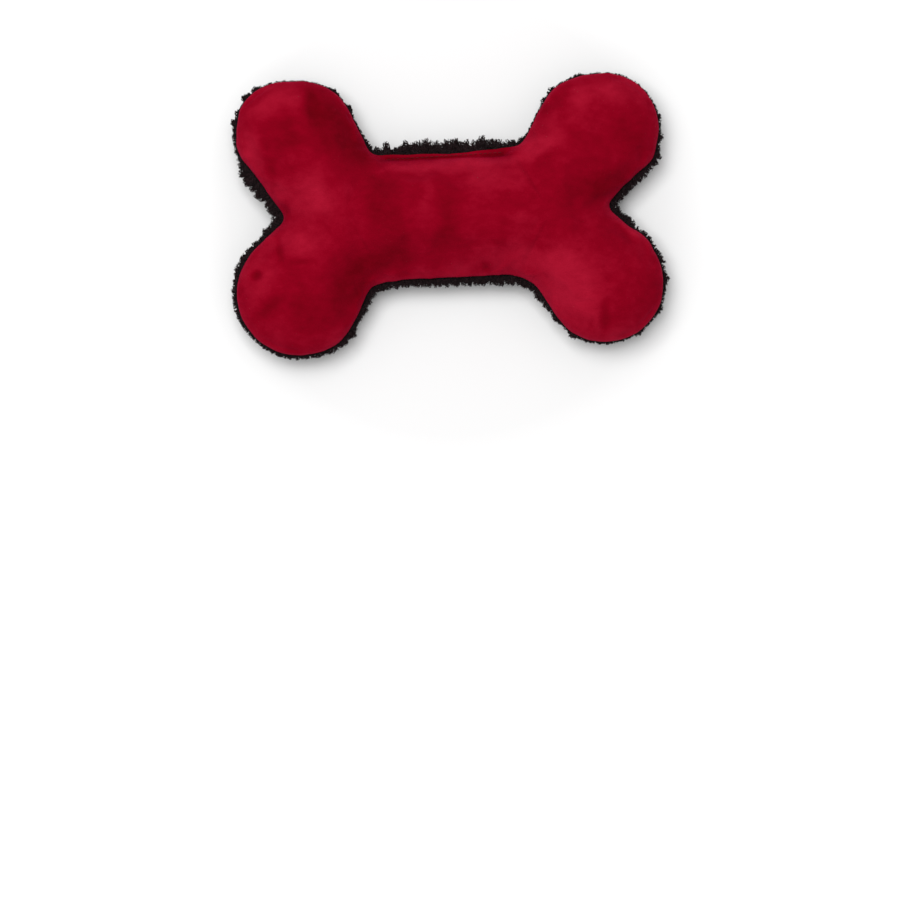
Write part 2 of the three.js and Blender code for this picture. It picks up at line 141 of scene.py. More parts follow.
# %% A graph
class Graph:
    """A node tree that is written as Python expressions."""

    def __init__(self, tree):
        self.tree = tree

    def node(self, kind, sockets=None, output=0, **settings):
        """Adds a node and returns one of its outputs. The settings are made first, a ramp's stops too."""
        made = self.tree.nodes.new(kind)
        for name, value in settings.items():
            if name == "stops":
                self.set_stops(made.color_ramp, value)
            else:
                setattr(made, name, value)
        for name, value in (sockets or {}).items():
            if isinstance(value, Wire):
                self.tree.links.new(value.socket, made.inputs[name])
            else:
                made.inputs[name].default_value = value
        return Wire(self, made.outputs[output]) if len(made.outputs) else None

    def set_stops(self, ramp, stops):
        while len(ramp.elements) < len(stops):
            ramp.elements.new(1)
        for element, (position, colour) in zip(ramp.elements, stops):
            element.position = position
            element.color = (*colour, 1)

    def vector(self, **parts):
        """A vector made of its X, Y and Z."""
        return self.node("ShaderNodeCombineXYZ", parts)

    def vector_math(self, operation, *sides, output="Vector"):
        return self.node("ShaderNodeVectorMath", dict(enumerate(sides)), output, operation=operation)

    def noise(self, place, size, detail, roughness, distortion=0.0):
        """Cloudy noise from 0 to 1 whose lumps are about size across."""
        shape = {"Scale": 1 / size, "Detail": detail, "Roughness": roughness, "Distortion": distortion}
        return self.node("ShaderNodeTexNoise", {"Vector": place, **shape}, "Fac")

    def stretched(self, place, turn, stretch):
        """Object coordinates turned in the plane and then stretched."""
        return self.node("ShaderNodeMapping", {"Vector": place, "Rotation": (0, 0, turn), "Scale": stretch})

    def ramp(self, value, *stops):
        return self.node("ShaderNodeValToRGB", {"Fac": value}, "Color", stops=stops)

    def bump(self, height, distance, strength, below=None):
        sockets = {"Height": height, "Distance": distance, "Strength": strength}
        return self.node("ShaderNodeBump", {**sockets, "Normal": below} if below else sockets)

    def attribute(self, name):
        return self.node("ShaderNodeAttribute", None, "Fac", attribute_name=name)

    def surface(self, colour, normal, **more):
        """Ends a material. An underscore in a name stands for a space in the socket's name."""
        sockets = {name.replace("_", " "): value for name, value in more.items()}
        skin = {"Base Color": colour, "Normal": normal, **sockets}
        shader = self.node("ShaderNodeBsdfPrincipled", skin)
        self.node("ShaderNodeOutputMaterial", {"Surface": shader})


# %% An empty finish
def new_finish(name):
    """A material with an empty tree, its graph and its object coordinates."""
    material = bpy.data.materials.new(name)
    material.use_nodes = True
    material.node_tree.nodes.clear()
    graph = Graph(material.node_tree)
    return material, graph, graph.node("ShaderNodeTexCoord", None, "Object")


# %% [markdown]
# ## Studio
# The toy was lit softly from the left, with white all round it and a soft shadow that is darkest where the
# bone is drawn in. One large lamp and a pale world do that. The floor is a diffuse white that looks whiter
# to the camera alone, so it reads as paper white, keeps the shadow and throws no extra light on the cloth.
# Away from the bone it also glows, because the photograph's white is burnt out there.

# %% What the camera sees directly
def seen_directly(graph):
    """1 for rays from the camera and for what gloss and glass show, otherwise 0."""
    path = graph.node("ShaderNodeLightPath", None, "Is Camera Ray")
    glossy = path.other("Is Glossy Ray")
    through = path.other("Is Transmission Ray")
    return path.math("MINIMUM", path + glossy + through, 1)


# %% Floor
FLOOR_REACH = 6.0
FLOOR_WHITE = 0.8
FLOOR_SEEN_WHITER = 0.11
FLOOR_GLOW = 0.22
FLOOR_GLOW_FROM = 142 * MM
FLOOR_GLOW_TO = 240 * MM


def add_floor():
    material, graph, place = new_finish("floor_white")
    seen = seen_directly(graph)
    white = graph.node("ShaderNodeBsdfDiffuse", {"Color": seen * FLOOR_SEEN_WHITER + FLOOR_WHITE})
    away = graph.vector_math("LENGTH", place, output="Value")
    far = (away - FLOOR_GLOW_FROM) * (1 / (FLOOR_GLOW_TO - FLOOR_GLOW_FROM))
    far = far.math("MINIMUM", far.math("MAXIMUM", far, 0), 1)
    glow = graph.node("ShaderNodeEmission", {"Strength": seen * far * FLOOR_GLOW})
    both = graph.node("ShaderNodeAddShader", {0: white, 1: glow})
    graph.node("ShaderNodeOutputMaterial", {"Surface": both})
    mesh = bpy.data.meshes.new("floor")
    corners = [(-1, -1), (1, -1), (1, 1), (-1, 1)]
    mesh.from_pydata([(x * FLOOR_REACH, y * FLOOR_REACH, 0) for x, y in corners], [], [range(4)])
    mesh.materials.append(material)
    placed("floor", mesh)


add_floor()
print("Floor", 2 * FLOOR_REACH, "m wide")

# %% World
WORLD_LIGHT = 0.52


def add_world():
    scene.world = bpy.data.worlds.new("studio")
    scene.world.use_nodes = True
    scene.world.node_tree.nodes.clear()
    graph = Graph(scene.world.node_tree)
    strength = seen_directly(graph) * (1 - WORLD_LIGHT) + WORLD_LIGHT
    sky = graph.node("ShaderNodeBackground", {"Color": (1, 1, 1, 1), "Strength": strength})
    graph.node("ShaderNodeOutputWorld", {"Surface": sky})


add_world()
print("World light", WORLD_LIGHT)


# %% Lamp
def add_lamp(name, place, size, power):
    """A square soft light that faces the bone."""
    data = bpy.data.lights.new(name, "AREA")
    data.size = size
    data.energy = power
    lamp = placed(name, data)
    lamp.location = place
    lamp.rotation_euler = (-Vector(place)).to_track_quat("-Z", "Y").to_euler()


add_lamp("key_light", place=(-0.28, 0.30, 1.75), size=1.0, power=22)
scene.view_settings.view_transform = "Standard"
print("Studio lit")

# %% [markdown]
# ## The sewn edge
# The two panels were cut to one outline and sewn along it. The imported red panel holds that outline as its
# lowest ring of corners. It could be typed in again, but then the dressed panels might not meet where the
# packed ones do. So the ring is lifted off the model and drawn again as a smooth closed curve.

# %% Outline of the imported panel
FLAT_TOLERANCE = 0.05 * MM
SHARP_EDGE = math.radians(60)


def sewn_corners(panel):
    """The corners of the panel's outer edge, in order and counter-clockwise."""
    bm = bmesh.new()
    bm.from_mesh(panel.data)
    bmesh.ops.remove_doubles(bm, verts=bm.verts, dist=FLAT_TOLERANCE)
    low = min(v.co.z for v in bm.verts)
    rim = [
        edge
        for edge in bm.edges
        if max(v.co.z for v in edge.verts) < low + FLAT_TOLERANCE and edge.calc_face_angle(0) > SHARP_EDGE
    ]
    start = max((v for edge in rim for v in edge.verts), key=lambda v: v.co.x)
    beside = {}
    for edge in rim:
        for v in edge.verts:
            beside.setdefault(v, []).append(edge.other_vert(v))
    ring = [start, beside[start][0]]
    while True:
        onwards = [v for v in beside[ring[-1]] if v != ring[-2]][0]
        if onwards == start:
            break
        ring.append(onwards)
    corners = np.array([v.co.xy for v in ring])
    bm.free()
    turned = np.roll(corners, -1, axis=0)
    area = (corners[:, 0] * turned[:, 1] - corners[:, 1] * turned[:, 0]).sum()
    return corners if area > 0 else corners[::-1]


corners = sewn_corners(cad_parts["front_panel"])
print(len(corners), "corners on the sewn edge")

# %% A smooth curve through the corners
EDGE_STEP = 2.0 * MM
CURVE_STEPS = 16


def even_curve(points, step):
    """A closed curve through the points, cut into even steps."""
    before, after, ahead = (np.roll(points, turn, axis=0) for turn in (1, -1, -2))
    pairs = ((before, points), (points, after), (after, ahead))
    gaps = [np.sqrt(np.linalg.norm(b - a, axis=1))[:, None] for a, b in pairs]
    run = after - points
    leave = gaps[1] * ((points - before) / gaps[0] - (after - before) / (gaps[0] + gaps[1])) + run
    arrive = gaps[1] * ((ahead - after) / gaps[2] - (ahead - points) / (gaps[1] + gaps[2])) + run
    stretches = []
    for t in np.arange(CURVE_STEPS) / CURVE_STEPS:
        blend = 3 * t**2 - 2 * t**3
        bend = leave * (t**3 - 2 * t**2 + t) + arrive * (t**3 - t**2)
        stretches.append(points * (1 - blend) + after * blend + bend)
    fine = np.stack(stretches, axis=1).reshape(-1, 2)
    closed = np.vstack([fine, fine[:1]])
    along = np.r_[0, np.cumsum(np.linalg.norm(np.diff(closed, axis=0), axis=1))]
    stops = np.linspace(0, along[-1], round(along[-1] / step), endpoint=False)
    return np.stack([np.interp(stops, along, closed[:, k]) for k in (0, 1)], axis=1)


def outward(ring):
    """Unit directions out of a counter-clockwise ring."""
    run = np.roll(ring, -1, axis=0) - np.roll(ring, 1, axis=0)
    run /= np.linalg.norm(run, axis=1)[:, None]
    return np.stack([run[:, 1], -run[:, 0]], axis=1)


edge = even_curve(corners, EDGE_STEP)
edge_out = outward(edge)
flat_edge = np.c_[edge, np.zeros(len(edge))]
print(len(edge), "steps along", round(len(edge) * EDGE_STEP, 3), "m of seam")

# %% [markdown]
# ## How full the bone is
# Stuffing pushes a sewn panel up from its seam to a crown line, steeply at first and then level. Sculpting
# would give that form once, while a rule gives it to both panels alike. The crown line runs along the
# waist and forks into the knuckles, and the share of the way from the seam to the crown gives the height.

# %% Crown line
FORK_REACH = 64 * MM
KNUCKLES = np.array([(96.7, 52.9), (-99.0, 54.6), (-97.5, -48.4), (99.8, -47.2)]) * MM
KNUCKLE_SINK = 3 * MM
reed_low, reed_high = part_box("squeaker_reed")
waist_line = (reed_low.y + reed_high.y) / 2
forks = np.array([(math.copysign(FORK_REACH, x), waist_line) for x, _ in KNUCKLES])
crown_lines = [(forks[1], forks[0], 0.0, 0.0)]
crown_lines += [(fork, knuckle, 0.0, KNUCKLE_SINK) for fork, knuckle in zip(forks, KNUCKLES)]
print("Crown lines:", len(crown_lines))


# %% Distances to the crown and to the edge
def nearest_on(points, start, end):
    """For each point, its distance to a straight line and how far along that line it is."""
    run = end - start
    along = np.clip((points - start) @ run / (run @ run), 0, 1)
    return np.linalg.norm(points - (start + along[:, None] * run), axis=1), along


def nearest_edge(points):
    """For each point, its distance to the sewn edge and the step of the edge that is nearest."""
    far = np.full(len(points), np.inf)
    step = np.zeros(len(points), int)
    for k, (a, b) in enumerate(zip(edge, np.roll(edge, -1, axis=0))):
        away, along = nearest_on(points, a, b)
        closer = away < far
        far[closer] = away[closer]
        step[closer] = (k + (along[closer] > 0.5)) % len(edge)
    return far, step


# %% The rise from seam to crown
FULLNESS = 0.62
NEVER_ZERO = 1e-9


def crown_share(points, depth):
    """How far each point is on its way from seam to crown, and how far the crown sinks near it."""
    away = np.full(len(points), np.inf)
    sink = np.zeros(len(points))
    for start, end, sink_here, sink_there in crown_lines:
        gap, along = nearest_on(points, start, end)
        closer = gap < away
        away[closer] = gap[closer]
        sink[closer] = (sink_here + (sink_there - sink_here) * along)[closer]
    return depth / np.maximum(depth + away, NEVER_ZERO), sink


def swell(share):
    """Share of the full height at a share of the way in, steep at the seam and level at the crown."""
    return (1 - (1 - share) ** 2) ** FULLNESS


print("Halfway in, the cloth has", round(swell(0.5), 2), "of its height")

# %% [markdown]
# ## Cutting a panel
# Rows of points follow the seam, close together where the cloth turns over, and a honeycomb of points fills
# the middle. Joining them into triangles gives cloth that bends alike in every direction, which a square
# grid doesn't.

# %% A flat cut
ROWS_IN = np.array([0.6, 1.4, 2.3, 3.2, 4.2, 5.8]) * MM


def flat_cut(spacing, rows):
    """Points and triangles of the outline's inside. The first points are the outline's own."""
    low, high = edge.min(axis=0), edge.max(axis=0)
    across = np.arange(low[0], high[0], spacing)
    up = np.arange(low[1], high[1], spacing * math.sqrt(3) / 2)
    grid = np.array([(x + spacing / 2 * (j % 2), y) for j, y in enumerate(up) for x in across])
    depth, step = nearest_edge(grid)
    inside = ((grid - edge[step]) * edge_out[step]).sum(axis=1) < 0
    kept = grid[inside & (depth > rows[-1] + spacing / 2)]
    rings = [edge - edge_out * row for row in rows]
    points = np.vstack([edge, *rings, kept])
    loop = [(k, (k + 1) % len(edge)) for k in range(len(edge))]
    flat = [Vector(p) for p in points]
    found, _, faces, *_ = geometry.delaunay_2d_cdt(flat, loop, [], 1, FLAT_TOLERANCE)
    return np.array(found), faces


def new_mesh(name, points, faces):
    mesh = bpy.data.meshes.new(name)
    mesh.from_pydata([tuple(p) for p in points], [], [tuple(f) for f in faces])
    mesh.validate()
    return placed(name, mesh)


CLOTH_SPACING = 2.85 * MM
cut_points, cut_faces = flat_cut(CLOTH_SPACING, ROWS_IN)
cut_depth, cut_step = nearest_edge(cut_points)
print(len(cut_points), "points and", len(cut_faces), "triangles in the red cut")

# %% [markdown]
# ## The red face
# This is one piece of velour, sewn face down and turned right side out. It starts as the flat cut, lifted
# nearly to its stuffed height. At the waist the bone was closed by stitching through both cloths, so a
# flat lip runs along the edge there and the cloth only swells behind it.

# %% The closing lip
panel_low, panel_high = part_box("front_panel")
stitch_low, stitch_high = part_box("closing_topstitch")
HEM_THICKNESS = 1.6 * MM
RIM_LEVEL = panel_low.z + HEM_THICKNESS
LIP_WIDTH = 3.2 * MM
LIP_WIDENING = 0.4
LIP_RUN_OUT = 9 * MM
LIP_PUFF = 0.5 * MM


def smooth_step(values):
    t = np.clip(values, 0, 1)
    return t * t * (3 - 2 * t)


def lip_shares():
    """For each step of the edge, how much of the closing lip is there, from 0 to 1."""
    x, y = edge.T
    into_left = (x - stitch_low.x + LIP_RUN_OUT) / LIP_RUN_OUT
    into_right = (stitch_high.x + LIP_RUN_OUT - x) / LIP_RUN_OUT
    return smooth_step(into_left) * smooth_step(into_right) * (y > 0)


def lip_widths():
    """Width of the closing lip at each step of the edge. It widens towards its right end."""
    middle = (stitch_low.x + stitch_high.x) / 2
    to_right = (edge[:, 0] - middle) / (stitch_high.x - middle)
    return LIP_WIDTH * (1 + LIP_WIDENING * smooth_step(to_right))


lip_share = lip_shares()
lip_width = lip_widths()
print("Lip on", int((lip_share > 0).sum()), "steps of the edge")

# %% Lifting the cut
STUFFING_LIFT = 2.5 * MM


def red_height(points, depth, step):
    """Height of the stuffed red face over each point of the cut."""
    lip = (lip_width * lip_share)[step]
    share, sink = crown_share(points, np.maximum(depth - lip, 0))
    puff = LIP_PUFF * lip_share[step] * np.sin(math.pi * np.clip(depth / lip_width[step], 0, 1))
    crown = panel_high.z - STUFFING_LIFT - sink
    return RIM_LEVEL + (crown - RIM_LEVEL) * swell(share) + puff


cut_height = red_height(cut_points, cut_depth, cut_step)
face = new_mesh("velour_face", np.c_[cut_points, cut_height], cut_faces)
print("Red face stands", round((cut_height.max() - RIM_LEVEL) / MM, 1), "mm over its seam")

# %% [markdown]
# The rule alone leaves the face as even as a balloon. Stuffing presses on the whole cloth while the seam
# holds its edge, and the cloth simulation does just that: pressure inside, no gravity, and the seam and
# the lip pinned. It lifts the crown the rest of the way and leaves the narrow waist rounder than the broad
# knuckles. The cloth is given a little more area than it needs, and it gathers that into soft puckers
# beside the seam, as the real one does.

# %% Places of a mesh's points
def evaluated(piece):
    """The piece as its modifiers make it."""
    return piece.evaluated_get(bpy.context.evaluated_depsgraph_get())


def vertex_places(mesh):
    flat = np.empty(len(mesh.vertices) * 3, np.float32)
    mesh.vertices.foreach_get("co", flat)
    return flat.reshape(-1, 3).astype(float)


def place_vertices(mesh, places):
    mesh.vertices.foreach_set("co", places.astype(np.float32).ravel())
    mesh.update()


# %% Filling it out
PRESSURE = 3.0
SPARE_CLOTH = 0.02
LAST_FRAME = 20
MOST_MOVE = 3.0 * MM
PINNED_DEPTH = 0.7 * MM
CLOTH_QUALITY = 6
CLOTH_STIFFNESS = 2.0


def fill_out(piece, pinned):
    """Blows the cloth up from inside, and returns where each point went, within a limit."""
    group = piece.vertex_groups.new(name="sewn")
    group.add([int(k) for k in pinned], 1.0, "REPLACE")
    cloth = piece.modifiers.new("fill_out", "CLOTH")
    cloth.settings.quality = CLOTH_QUALITY
    cloth.settings.vertex_group_mass = "sewn"
    cloth.settings.use_pressure = True
    cloth.settings.uniform_pressure_force = PRESSURE
    cloth.settings.shrink_min = -SPARE_CLOTH
    cloth.settings.bending_stiffness = CLOTH_STIFFNESS
    cloth.settings.effector_weights.gravity = 0
    cloth.collision_settings.use_collision = False
    cloth.point_cache.frame_end = LAST_FRAME
    rest = vertex_places(piece.data)
    for number in range(1, LAST_FRAME + 1):
        scene.frame_set(number)
    stuffed = vertex_places(evaluated(piece).data)
    scene.frame_set(1)
    piece.modifiers.remove(cloth)
    piece.vertex_groups.remove(group)
    move = stuffed - rest
    far = np.linalg.norm(move, axis=1)[:, None]
    return rest + move * MOST_MOVE * np.tanh(far / MOST_MOVE) / np.maximum(far, NEVER_ZERO)


pinned = np.flatnonzero(cut_depth < PINNED_DEPTH + (lip_width * lip_share)[cut_step])
place_vertices(face.data, fill_out(face, pinned))
moved = vertex_places(face.data)[:, 2] - cut_height
print("Filling moved the cloth", round(moved.min() / MM, 2), "to", round(moved.max() / MM, 2), "mm")

# %% [markdown]
# The edge is turned under and the allowance runs in behind the seam. A thickened sheet alone would show a
# cut edge there. Rings of corners carry the cloth round the fold instead, and one subdivision rounds it
# all.

# %% Turning the edge under
# how far in and how far away from the face each ring lies, in millimetres
HEM_RINGS = [(0.1, 0.6), (0.5, 1.2), (1.4, 1.55), (6.0, 1.6)]
ON_EDGE = 0.02 * MM


def turn_under(piece, up=False):
    """Adds the rings of the hem to a sheet's open edge, below the sheet or above it."""
    mesh = piece.data
    places = vertex_places(mesh)
    depth, step = nearest_edge(places[:, :2])
    rim = {int(step[k]): int(k) for k in np.flatnonzero(depth < ON_EDGE)}
    count = len(edge)
    rings = [[rim[k] for k in range(count)]]
    rim_level = places[rings[0], 2].mean()
    points = [tuple(p) for p in places]
    for inset, drop in HEM_RINGS:
        flat = edge - edge_out * inset * MM
        level = rim_level + (drop if up else -drop) * MM
        rings.append(list(range(len(points), len(points) + count)))
        points += [(x, y, level) for x, y in flat]
    faces = [tuple(p.vertices) for p in mesh.polygons]
    for upper, lower in zip(rings, rings[1:]):
        for k in range(count):
            n = (k + 1) % count
            quad = (upper[k], lower[k], lower[n], upper[n])
            faces.append(quad[::-1] if up else quad)
    turned = bpy.data.meshes.new(piece.name)
    turned.from_pydata(points, [], faces)
    piece.data = turned


# %% Rounding the fold
def apply_modifiers(piece):
    """Turns a piece and its modifiers into one plain mesh."""
    plain = bpy.data.meshes.new_from_object(evaluated(piece))
    piece.modifiers.clear()
    piece.data = plain
    plain.name = piece.name


def subdivide(piece):
    rounder = piece.modifiers.new("rounder", "SUBSURF")
    rounder.levels = rounder.render_levels = 1
    apply_modifiers(piece)


turn_under(face)
subdivide(face)
print("Red face has", len(face.data.polygons), "faces")

# %% [markdown]
# Then the marks that this bone has: the crease behind the closing lip, a dimple, and the shallow folds
# where the cloth was pinched by its seams. A simulation can't be told where to put them, so each is a soft
# dent with a place, a length, a width, a turn and a depth. The seam isn't sewn perfectly either: at places
# the edge is let out or drawn in a little, and all round it wanders by less than the width of a thread.

# %% Where the marks are
# x, y and half length in millimetres, and how far the edge is let out there
EDGE_SHIFTS = [
    (125, -19, 9, 1.8), (104, 7, 7, 1.5), (130, 32, 8, 0.9), (124, 80, 7, 0.5), (40, 41, 7, 0.9),
    (3, 40, 12, -0.9), (-41, 39, 12, 0.8), (-133, 43, 7, 0.8), (-136, 60, 9, -1.1), (-75, -81, 8, 0.8),
    (-41, -42, 8, 0.9), (48, -41, 7, 1.7),
]
# x, y, half length, half width and depth in millimetres, with the turn in degrees before the depth
DENTS = [
    (-123.8, -37.2, 3.8, 3.2, 30, 2.8), (-108.6, -21, 9, 2.2, 98, 1.4), (-96, -29.5, 9, 1.8, 0, 0.8),
    (-134, -48, 7, 2.4, 100, 0.7), (-118, -59, 12, 4.5, 40, 0.9), (98.5, -72, 9, 3.6, 90, 1.5),
    (89.5, -73.7, 4, 2, 90, 0.7), (-85.5, 70.8, 12, 4.2, 97, 1.5), (-105.2, 57.8, 6.5, 3, 10, 1.1),
    (23.3, -35.2, 5, 2, 120, 0.9), (-103.5, 4, 4, 2.5, 100, 0.8), (88, 46, 14, 4, 150, 0.7),
    (-60, 50, 12, 3.5, 125, 0.8), (60, -42, 11, 3.5, 140, 0.7), (-58, -48, 10, 3.5, 55, 0.8),
    (-8, -6, 30, 9, 88, 0.6),
]
print(len(DENTS), "marks and", len(EDGE_SHIFTS), "shifts of the edge")

# %% Soft spots and smooth noise
SPOT_FLATNESS = 1.3
SEED_SHIFTS = (7.3, 3.1, 5.7)


def spot(points, x, y, length, width, turn):
    """1 in the middle of a soft oval mark, falling to 0 outside it."""
    along = math.radians(turn)
    away = points[:, :2] - np.array((x, y)) * MM
    run = away @ (math.cos(along), math.sin(along)) / (length * MM)
    across = away @ (-math.sin(along), math.cos(along)) / (width * MM)
    return np.exp(-((run**2 + across**2) ** SPOT_FLATNESS))


def cloudy(points, size, seed):
    """Smooth noise from about -1 to 1 at each point."""
    shift = Vector([seed * part for part in SEED_SHIFTS])
    return np.array([noise.noise(Vector(p) / size + shift) for p in points])


# %% Pressing the marks in
CREASE_DEPTH = 1.2 * MM
CREASE_WIDTH = 1.0 * MM
SHIFT_REACH = 9 * MM
EDGE_WANDER = 0.45 * MM
EDGE_WANDER_SIZE = 7 * MM
MARKED_FROM = 6 * MM
UPPER_SIDE = RIM_LEVEL - FLAT_TOLERANCE
SWELL_SIZE = 34 * MM
SWELL_DEPTH = 0.9 * MM
RIPPLE_SIZE = 11 * MM
RIPPLE_DEPTH = 0.28 * MM


def past_crease(depth, step):
    """How far each point lies inside the crease, in widths of the crease."""
    return (depth - lip_width[step]) / CREASE_WIDTH


def edge_shifts():
    """How far each step of the edge is let out."""
    out = sum(shift * MM * spot(edge, x, y, length, length, 0) for x, y, length, shift in EDGE_SHIFTS)
    return out + EDGE_WANDER * cloudy(flat_edge, EDGE_WANDER_SIZE, seed=8)


def mark_face(mesh):
    """Lets the edge out and presses the crease and the dents into the upper side of the red face."""
    places = vertex_places(mesh)
    depth, step = nearest_edge(places[:, :2])
    out = edge_shifts()[step] * (1 - smooth_step(depth / SHIFT_REACH))
    places[:, :2] += edge_out[step] * out[:, None]
    upper = places[:, 2] > UPPER_SIDE
    down = sum(dent[-1] * MM * spot(places, *dent[:-1]) for dent in DENTS)
    down += SWELL_DEPTH * cloudy(places, SWELL_SIZE, seed=1)
    down += RIPPLE_DEPTH * cloudy(places, RIPPLE_SIZE, seed=2)
    down *= smooth_step(depth / MARKED_FROM)
    down += CREASE_DEPTH * lip_share[step] * np.exp(-past_crease(depth, step) ** 2)
    places[:, 2] -= down * upper
    place_vertices(mesh, places)


before = vertex_places(face.data)
mark_face(face.data)
deepest = np.linalg.norm(vertex_places(face.data) - before, axis=1).max()
print("The marks move the cloth by up to", round(deepest / MM, 1), "mm")

# %% [markdown]
# Velour is a brushed pile. Where a hand has stroked it the wrong way it turns lighter or darker, in patches
# with soft uneven edges. The patches here are partly that brushing and partly painted light and shade, such
# as the lit band under the crease and the shaded flanks of the knuckles. They are painted on the mesh as an
# attribute that the material reads. Painted shade darkens the dents and the crease, the pressed lip is
# darker, and a painted sheen lightens the very edge, where the pile is seen from its side.

# %% Where it is brushed and where light and shade are painted
# x, y, half length and half width in millimetres, turn in degrees, and how much lighter, from brushing and
# painted light
NAP_AND_SHADING_PATCHES = [
    (-125, 41, 17, 7, 105, 0.75), (-112, 73, 15, 8, 30, 0.75), (-94, 71, 8, 7, 80, 0.7),
    (-90, 12, 15, 14, 0, 0.85), (-109, 18, 12, 6, -55, 0.65), (-74, 9, 12, 14, 90, 0.45),
    (-95, -18, 14, 10, -25, 0.8), (-121, -36, 11, 9, 40, 0.5), (-1, 31, 46, 5, 3, 0.9),
    (28, 20, 19, 9, 0, 0.6), (60, 42, 16, 7, 31, 1.2), (44, -5, 6, 5, 0, 0.4),
    (76, -52, 28, 20, -58, 1.05), (68, -34, 14, 12, 0, 0.5), (85, 71, 8, 6, 20, 0.45),
    (110, 75, 17, 9, -8, 0.6), (82, 64, 14, 8, 40, 0.35), (-130, -51, 18, 6, 95, 0.35),
    (-12, 6, 17, 5, 92, 0.35), (-76, -78, 8, 5, 40, 0.3), (117, -12, 16, 3.5, -42, 0.8),
    (-77, 71, 15, 12, -55, -0.75), (-60, 40, 23, 13, -65, -0.75), (-99, 49, 9, 6, 0, -0.65),
    (-94, 88, 7, 4, -10, -0.4), (-106, 4, 6, 5, 90, -0.4), (-64, -46, 20, 12, 60, -0.7),
    (-43, -29, 20, 8, 12, -0.75), (-40, 3, 20, 13, 88, -0.6), (-82, 54, 18, 10, -60, -0.35),
    (0, -8, 18, 8, 88, -0.5), (-30, -38, 6, 4, 0, -0.6), (23, -35, 5, 3.5, 0, -0.5),
    (103, 17, 17, 9, 30, -0.75), (63, 66, 5, 3.5, 60, -0.6), (69, 59, 5, 3.5, 60, 0.25),
    (99, -64, 7, 4, 90, -0.2), (105, -79, 15, 8, 5, 0.55), (126, -48, 14, 8, 90, -0.15),
    (121, 46, 18, 11, 95, -0.2), (-116, -56, 11, 5, 35, -0.45), (-96, -85, 13, 4, 0, -0.25),
    (86, 11, 15, 11, 70, -0.5), (-30, -18, 16, 7, 20, -0.3), (2, -36, 42, 4, 3, 0.4),
    (33, -28, 22, 8, -3, 0.55), (-113, -15, 15, 5, 48, 0.55), (-112, 31, 11, 3.5, 90, -0.35),
    (-89, -62, 16, 13, 0, -0.4),
]
# The brushed patches also carry painted light and shade.
print(len(NAP_AND_SHADING_PATCHES), "brushed patches")

# %% Brushing the face and painting light and shade on it
STROKE_SIZE = 13 * MM
STROKE_SHIFT = 4 * MM
# Painted shade in the dents, by their depth.
DENT_PAINTED_SHADE = 0.4
LIP_DARKER = 0.45
# Painted shade in the crease behind the lip.
CREASE_PAINTED_SHADE = 0.72
# Painted sheen along the edge of the face, and how wide it is.
RIM_PAINTED_SHEEN = 0.3
RIM_SHEEN_WIDTH = 2.2 * MM


def paint_nap_and_shading(mesh):
    """Writes how light the pile looks at each point: brushed patches with painted light and shade."""
    places = vertex_places(mesh)
    strayed = places.copy()
    for axis, seed in ((0, 6), (1, 7)):
        strayed[:, axis] += STROKE_SHIFT * cloudy(strayed, STROKE_SIZE, seed)
    # Brushed patches, partly painted light and shade.
    light = sum(patch[-1] * spot(strayed, *patch[:-1]) for patch in NAP_AND_SHADING_PATCHES)
    # Painted shade in the dents.
    light -= DENT_PAINTED_SHADE * sum(dent[-1] * spot(places, *dent[:-1]) for dent in DENTS)
    depth, step = nearest_edge(places[:, :2])
    lip, beyond = lip_share[step], past_crease(depth, step)
    # Painted sheen along the edge, away from the lip.
    light += RIM_PAINTED_SHEEN * (1 - lip) * np.exp(-((depth / RIM_SHEEN_WIDTH) ** 2))
    light -= LIP_DARKER * lip * (1 - smooth_step(beyond))
    # Painted shade in the crease.
    light -= CREASE_PAINTED_SHADE * lip * np.exp(-(beyond**2))
    nap = mesh.attributes.new("nap", "FLOAT", "POINT")
    nap.data.foreach_set("value", np.clip(light, -1, 1).astype(np.float32))
    return light


# How light the face is painted: brushing together with painted light and shade.
light = paint_nap_and_shading(face.data)
print("Lightness from", round(light.min(), 2), "to", round(light.max(), 2))

# %% [markdown]
# The colour runs from dark to light as the attribute on the mesh says: the brushing of the pile, with
# painted light and shade.
# Clouds of three sizes break the patches up: blotches, crushed spots and single tufts of fibre. The same
# clouds, small ones above all, give the bump, and a pink sheen lights the edges where the pile is seen
# from its side.

# %% Velour
RED_DARK = (0.135, 0.0002, 0.0040)
RED_MIDDLE = (0.238, 0.0003, 0.0098)
RED_LIGHT = (0.362, 0.0060, 0.0250)


def velour():
    material, graph, place = new_finish("velour")
    blotches = graph.noise(place, 26 * MM, 3, 0.6)
    crushed = graph.noise(graph.stretched(place, 0.6, (1, 1.6, 1)), 7 * MM, 3, 0.55)
    tufts = graph.noise(graph.stretched(place, 0.1, (1, 2.2, 1)), 1.1 * MM, 2, 0.6)
    # Brushing and painted light and shade, as written on the mesh.
    nap = graph.attribute("nap")
    tone = nap * 0.34 + blotches * 0.5 + crushed * 0.3 + tufts * 0.22 - 0.01
    colour = graph.ramp(tone, (0.12, RED_DARK), (0.5, RED_MIDDLE), (0.88, RED_LIGHT))
    bump = graph.bump(tufts, 0.5 * MM, 0.5, graph.bump(crushed, 1.2 * MM, 0.35))
    sheen = {"Sheen_Weight": 0.16, "Sheen_Roughness": 0.45, "Sheen_Tint": (1.0, 0.02, 0.17, 1)}
    graph.surface(colour, bump, Roughness=0.92, Specular_IOR_Level=0.02, **sheen)
    return material


# %% The last steps of a piece
VELOUR_THICKNESS = 0.7 * MM


def thicken(piece, thickness):
    """Gives a sheet its thickness, inwards from the side that shows."""
    wall = piece.modifiers.new("thickness", "SOLIDIFY")
    wall.thickness = thickness
    wall.offset = -1
    apply_modifiers(piece)


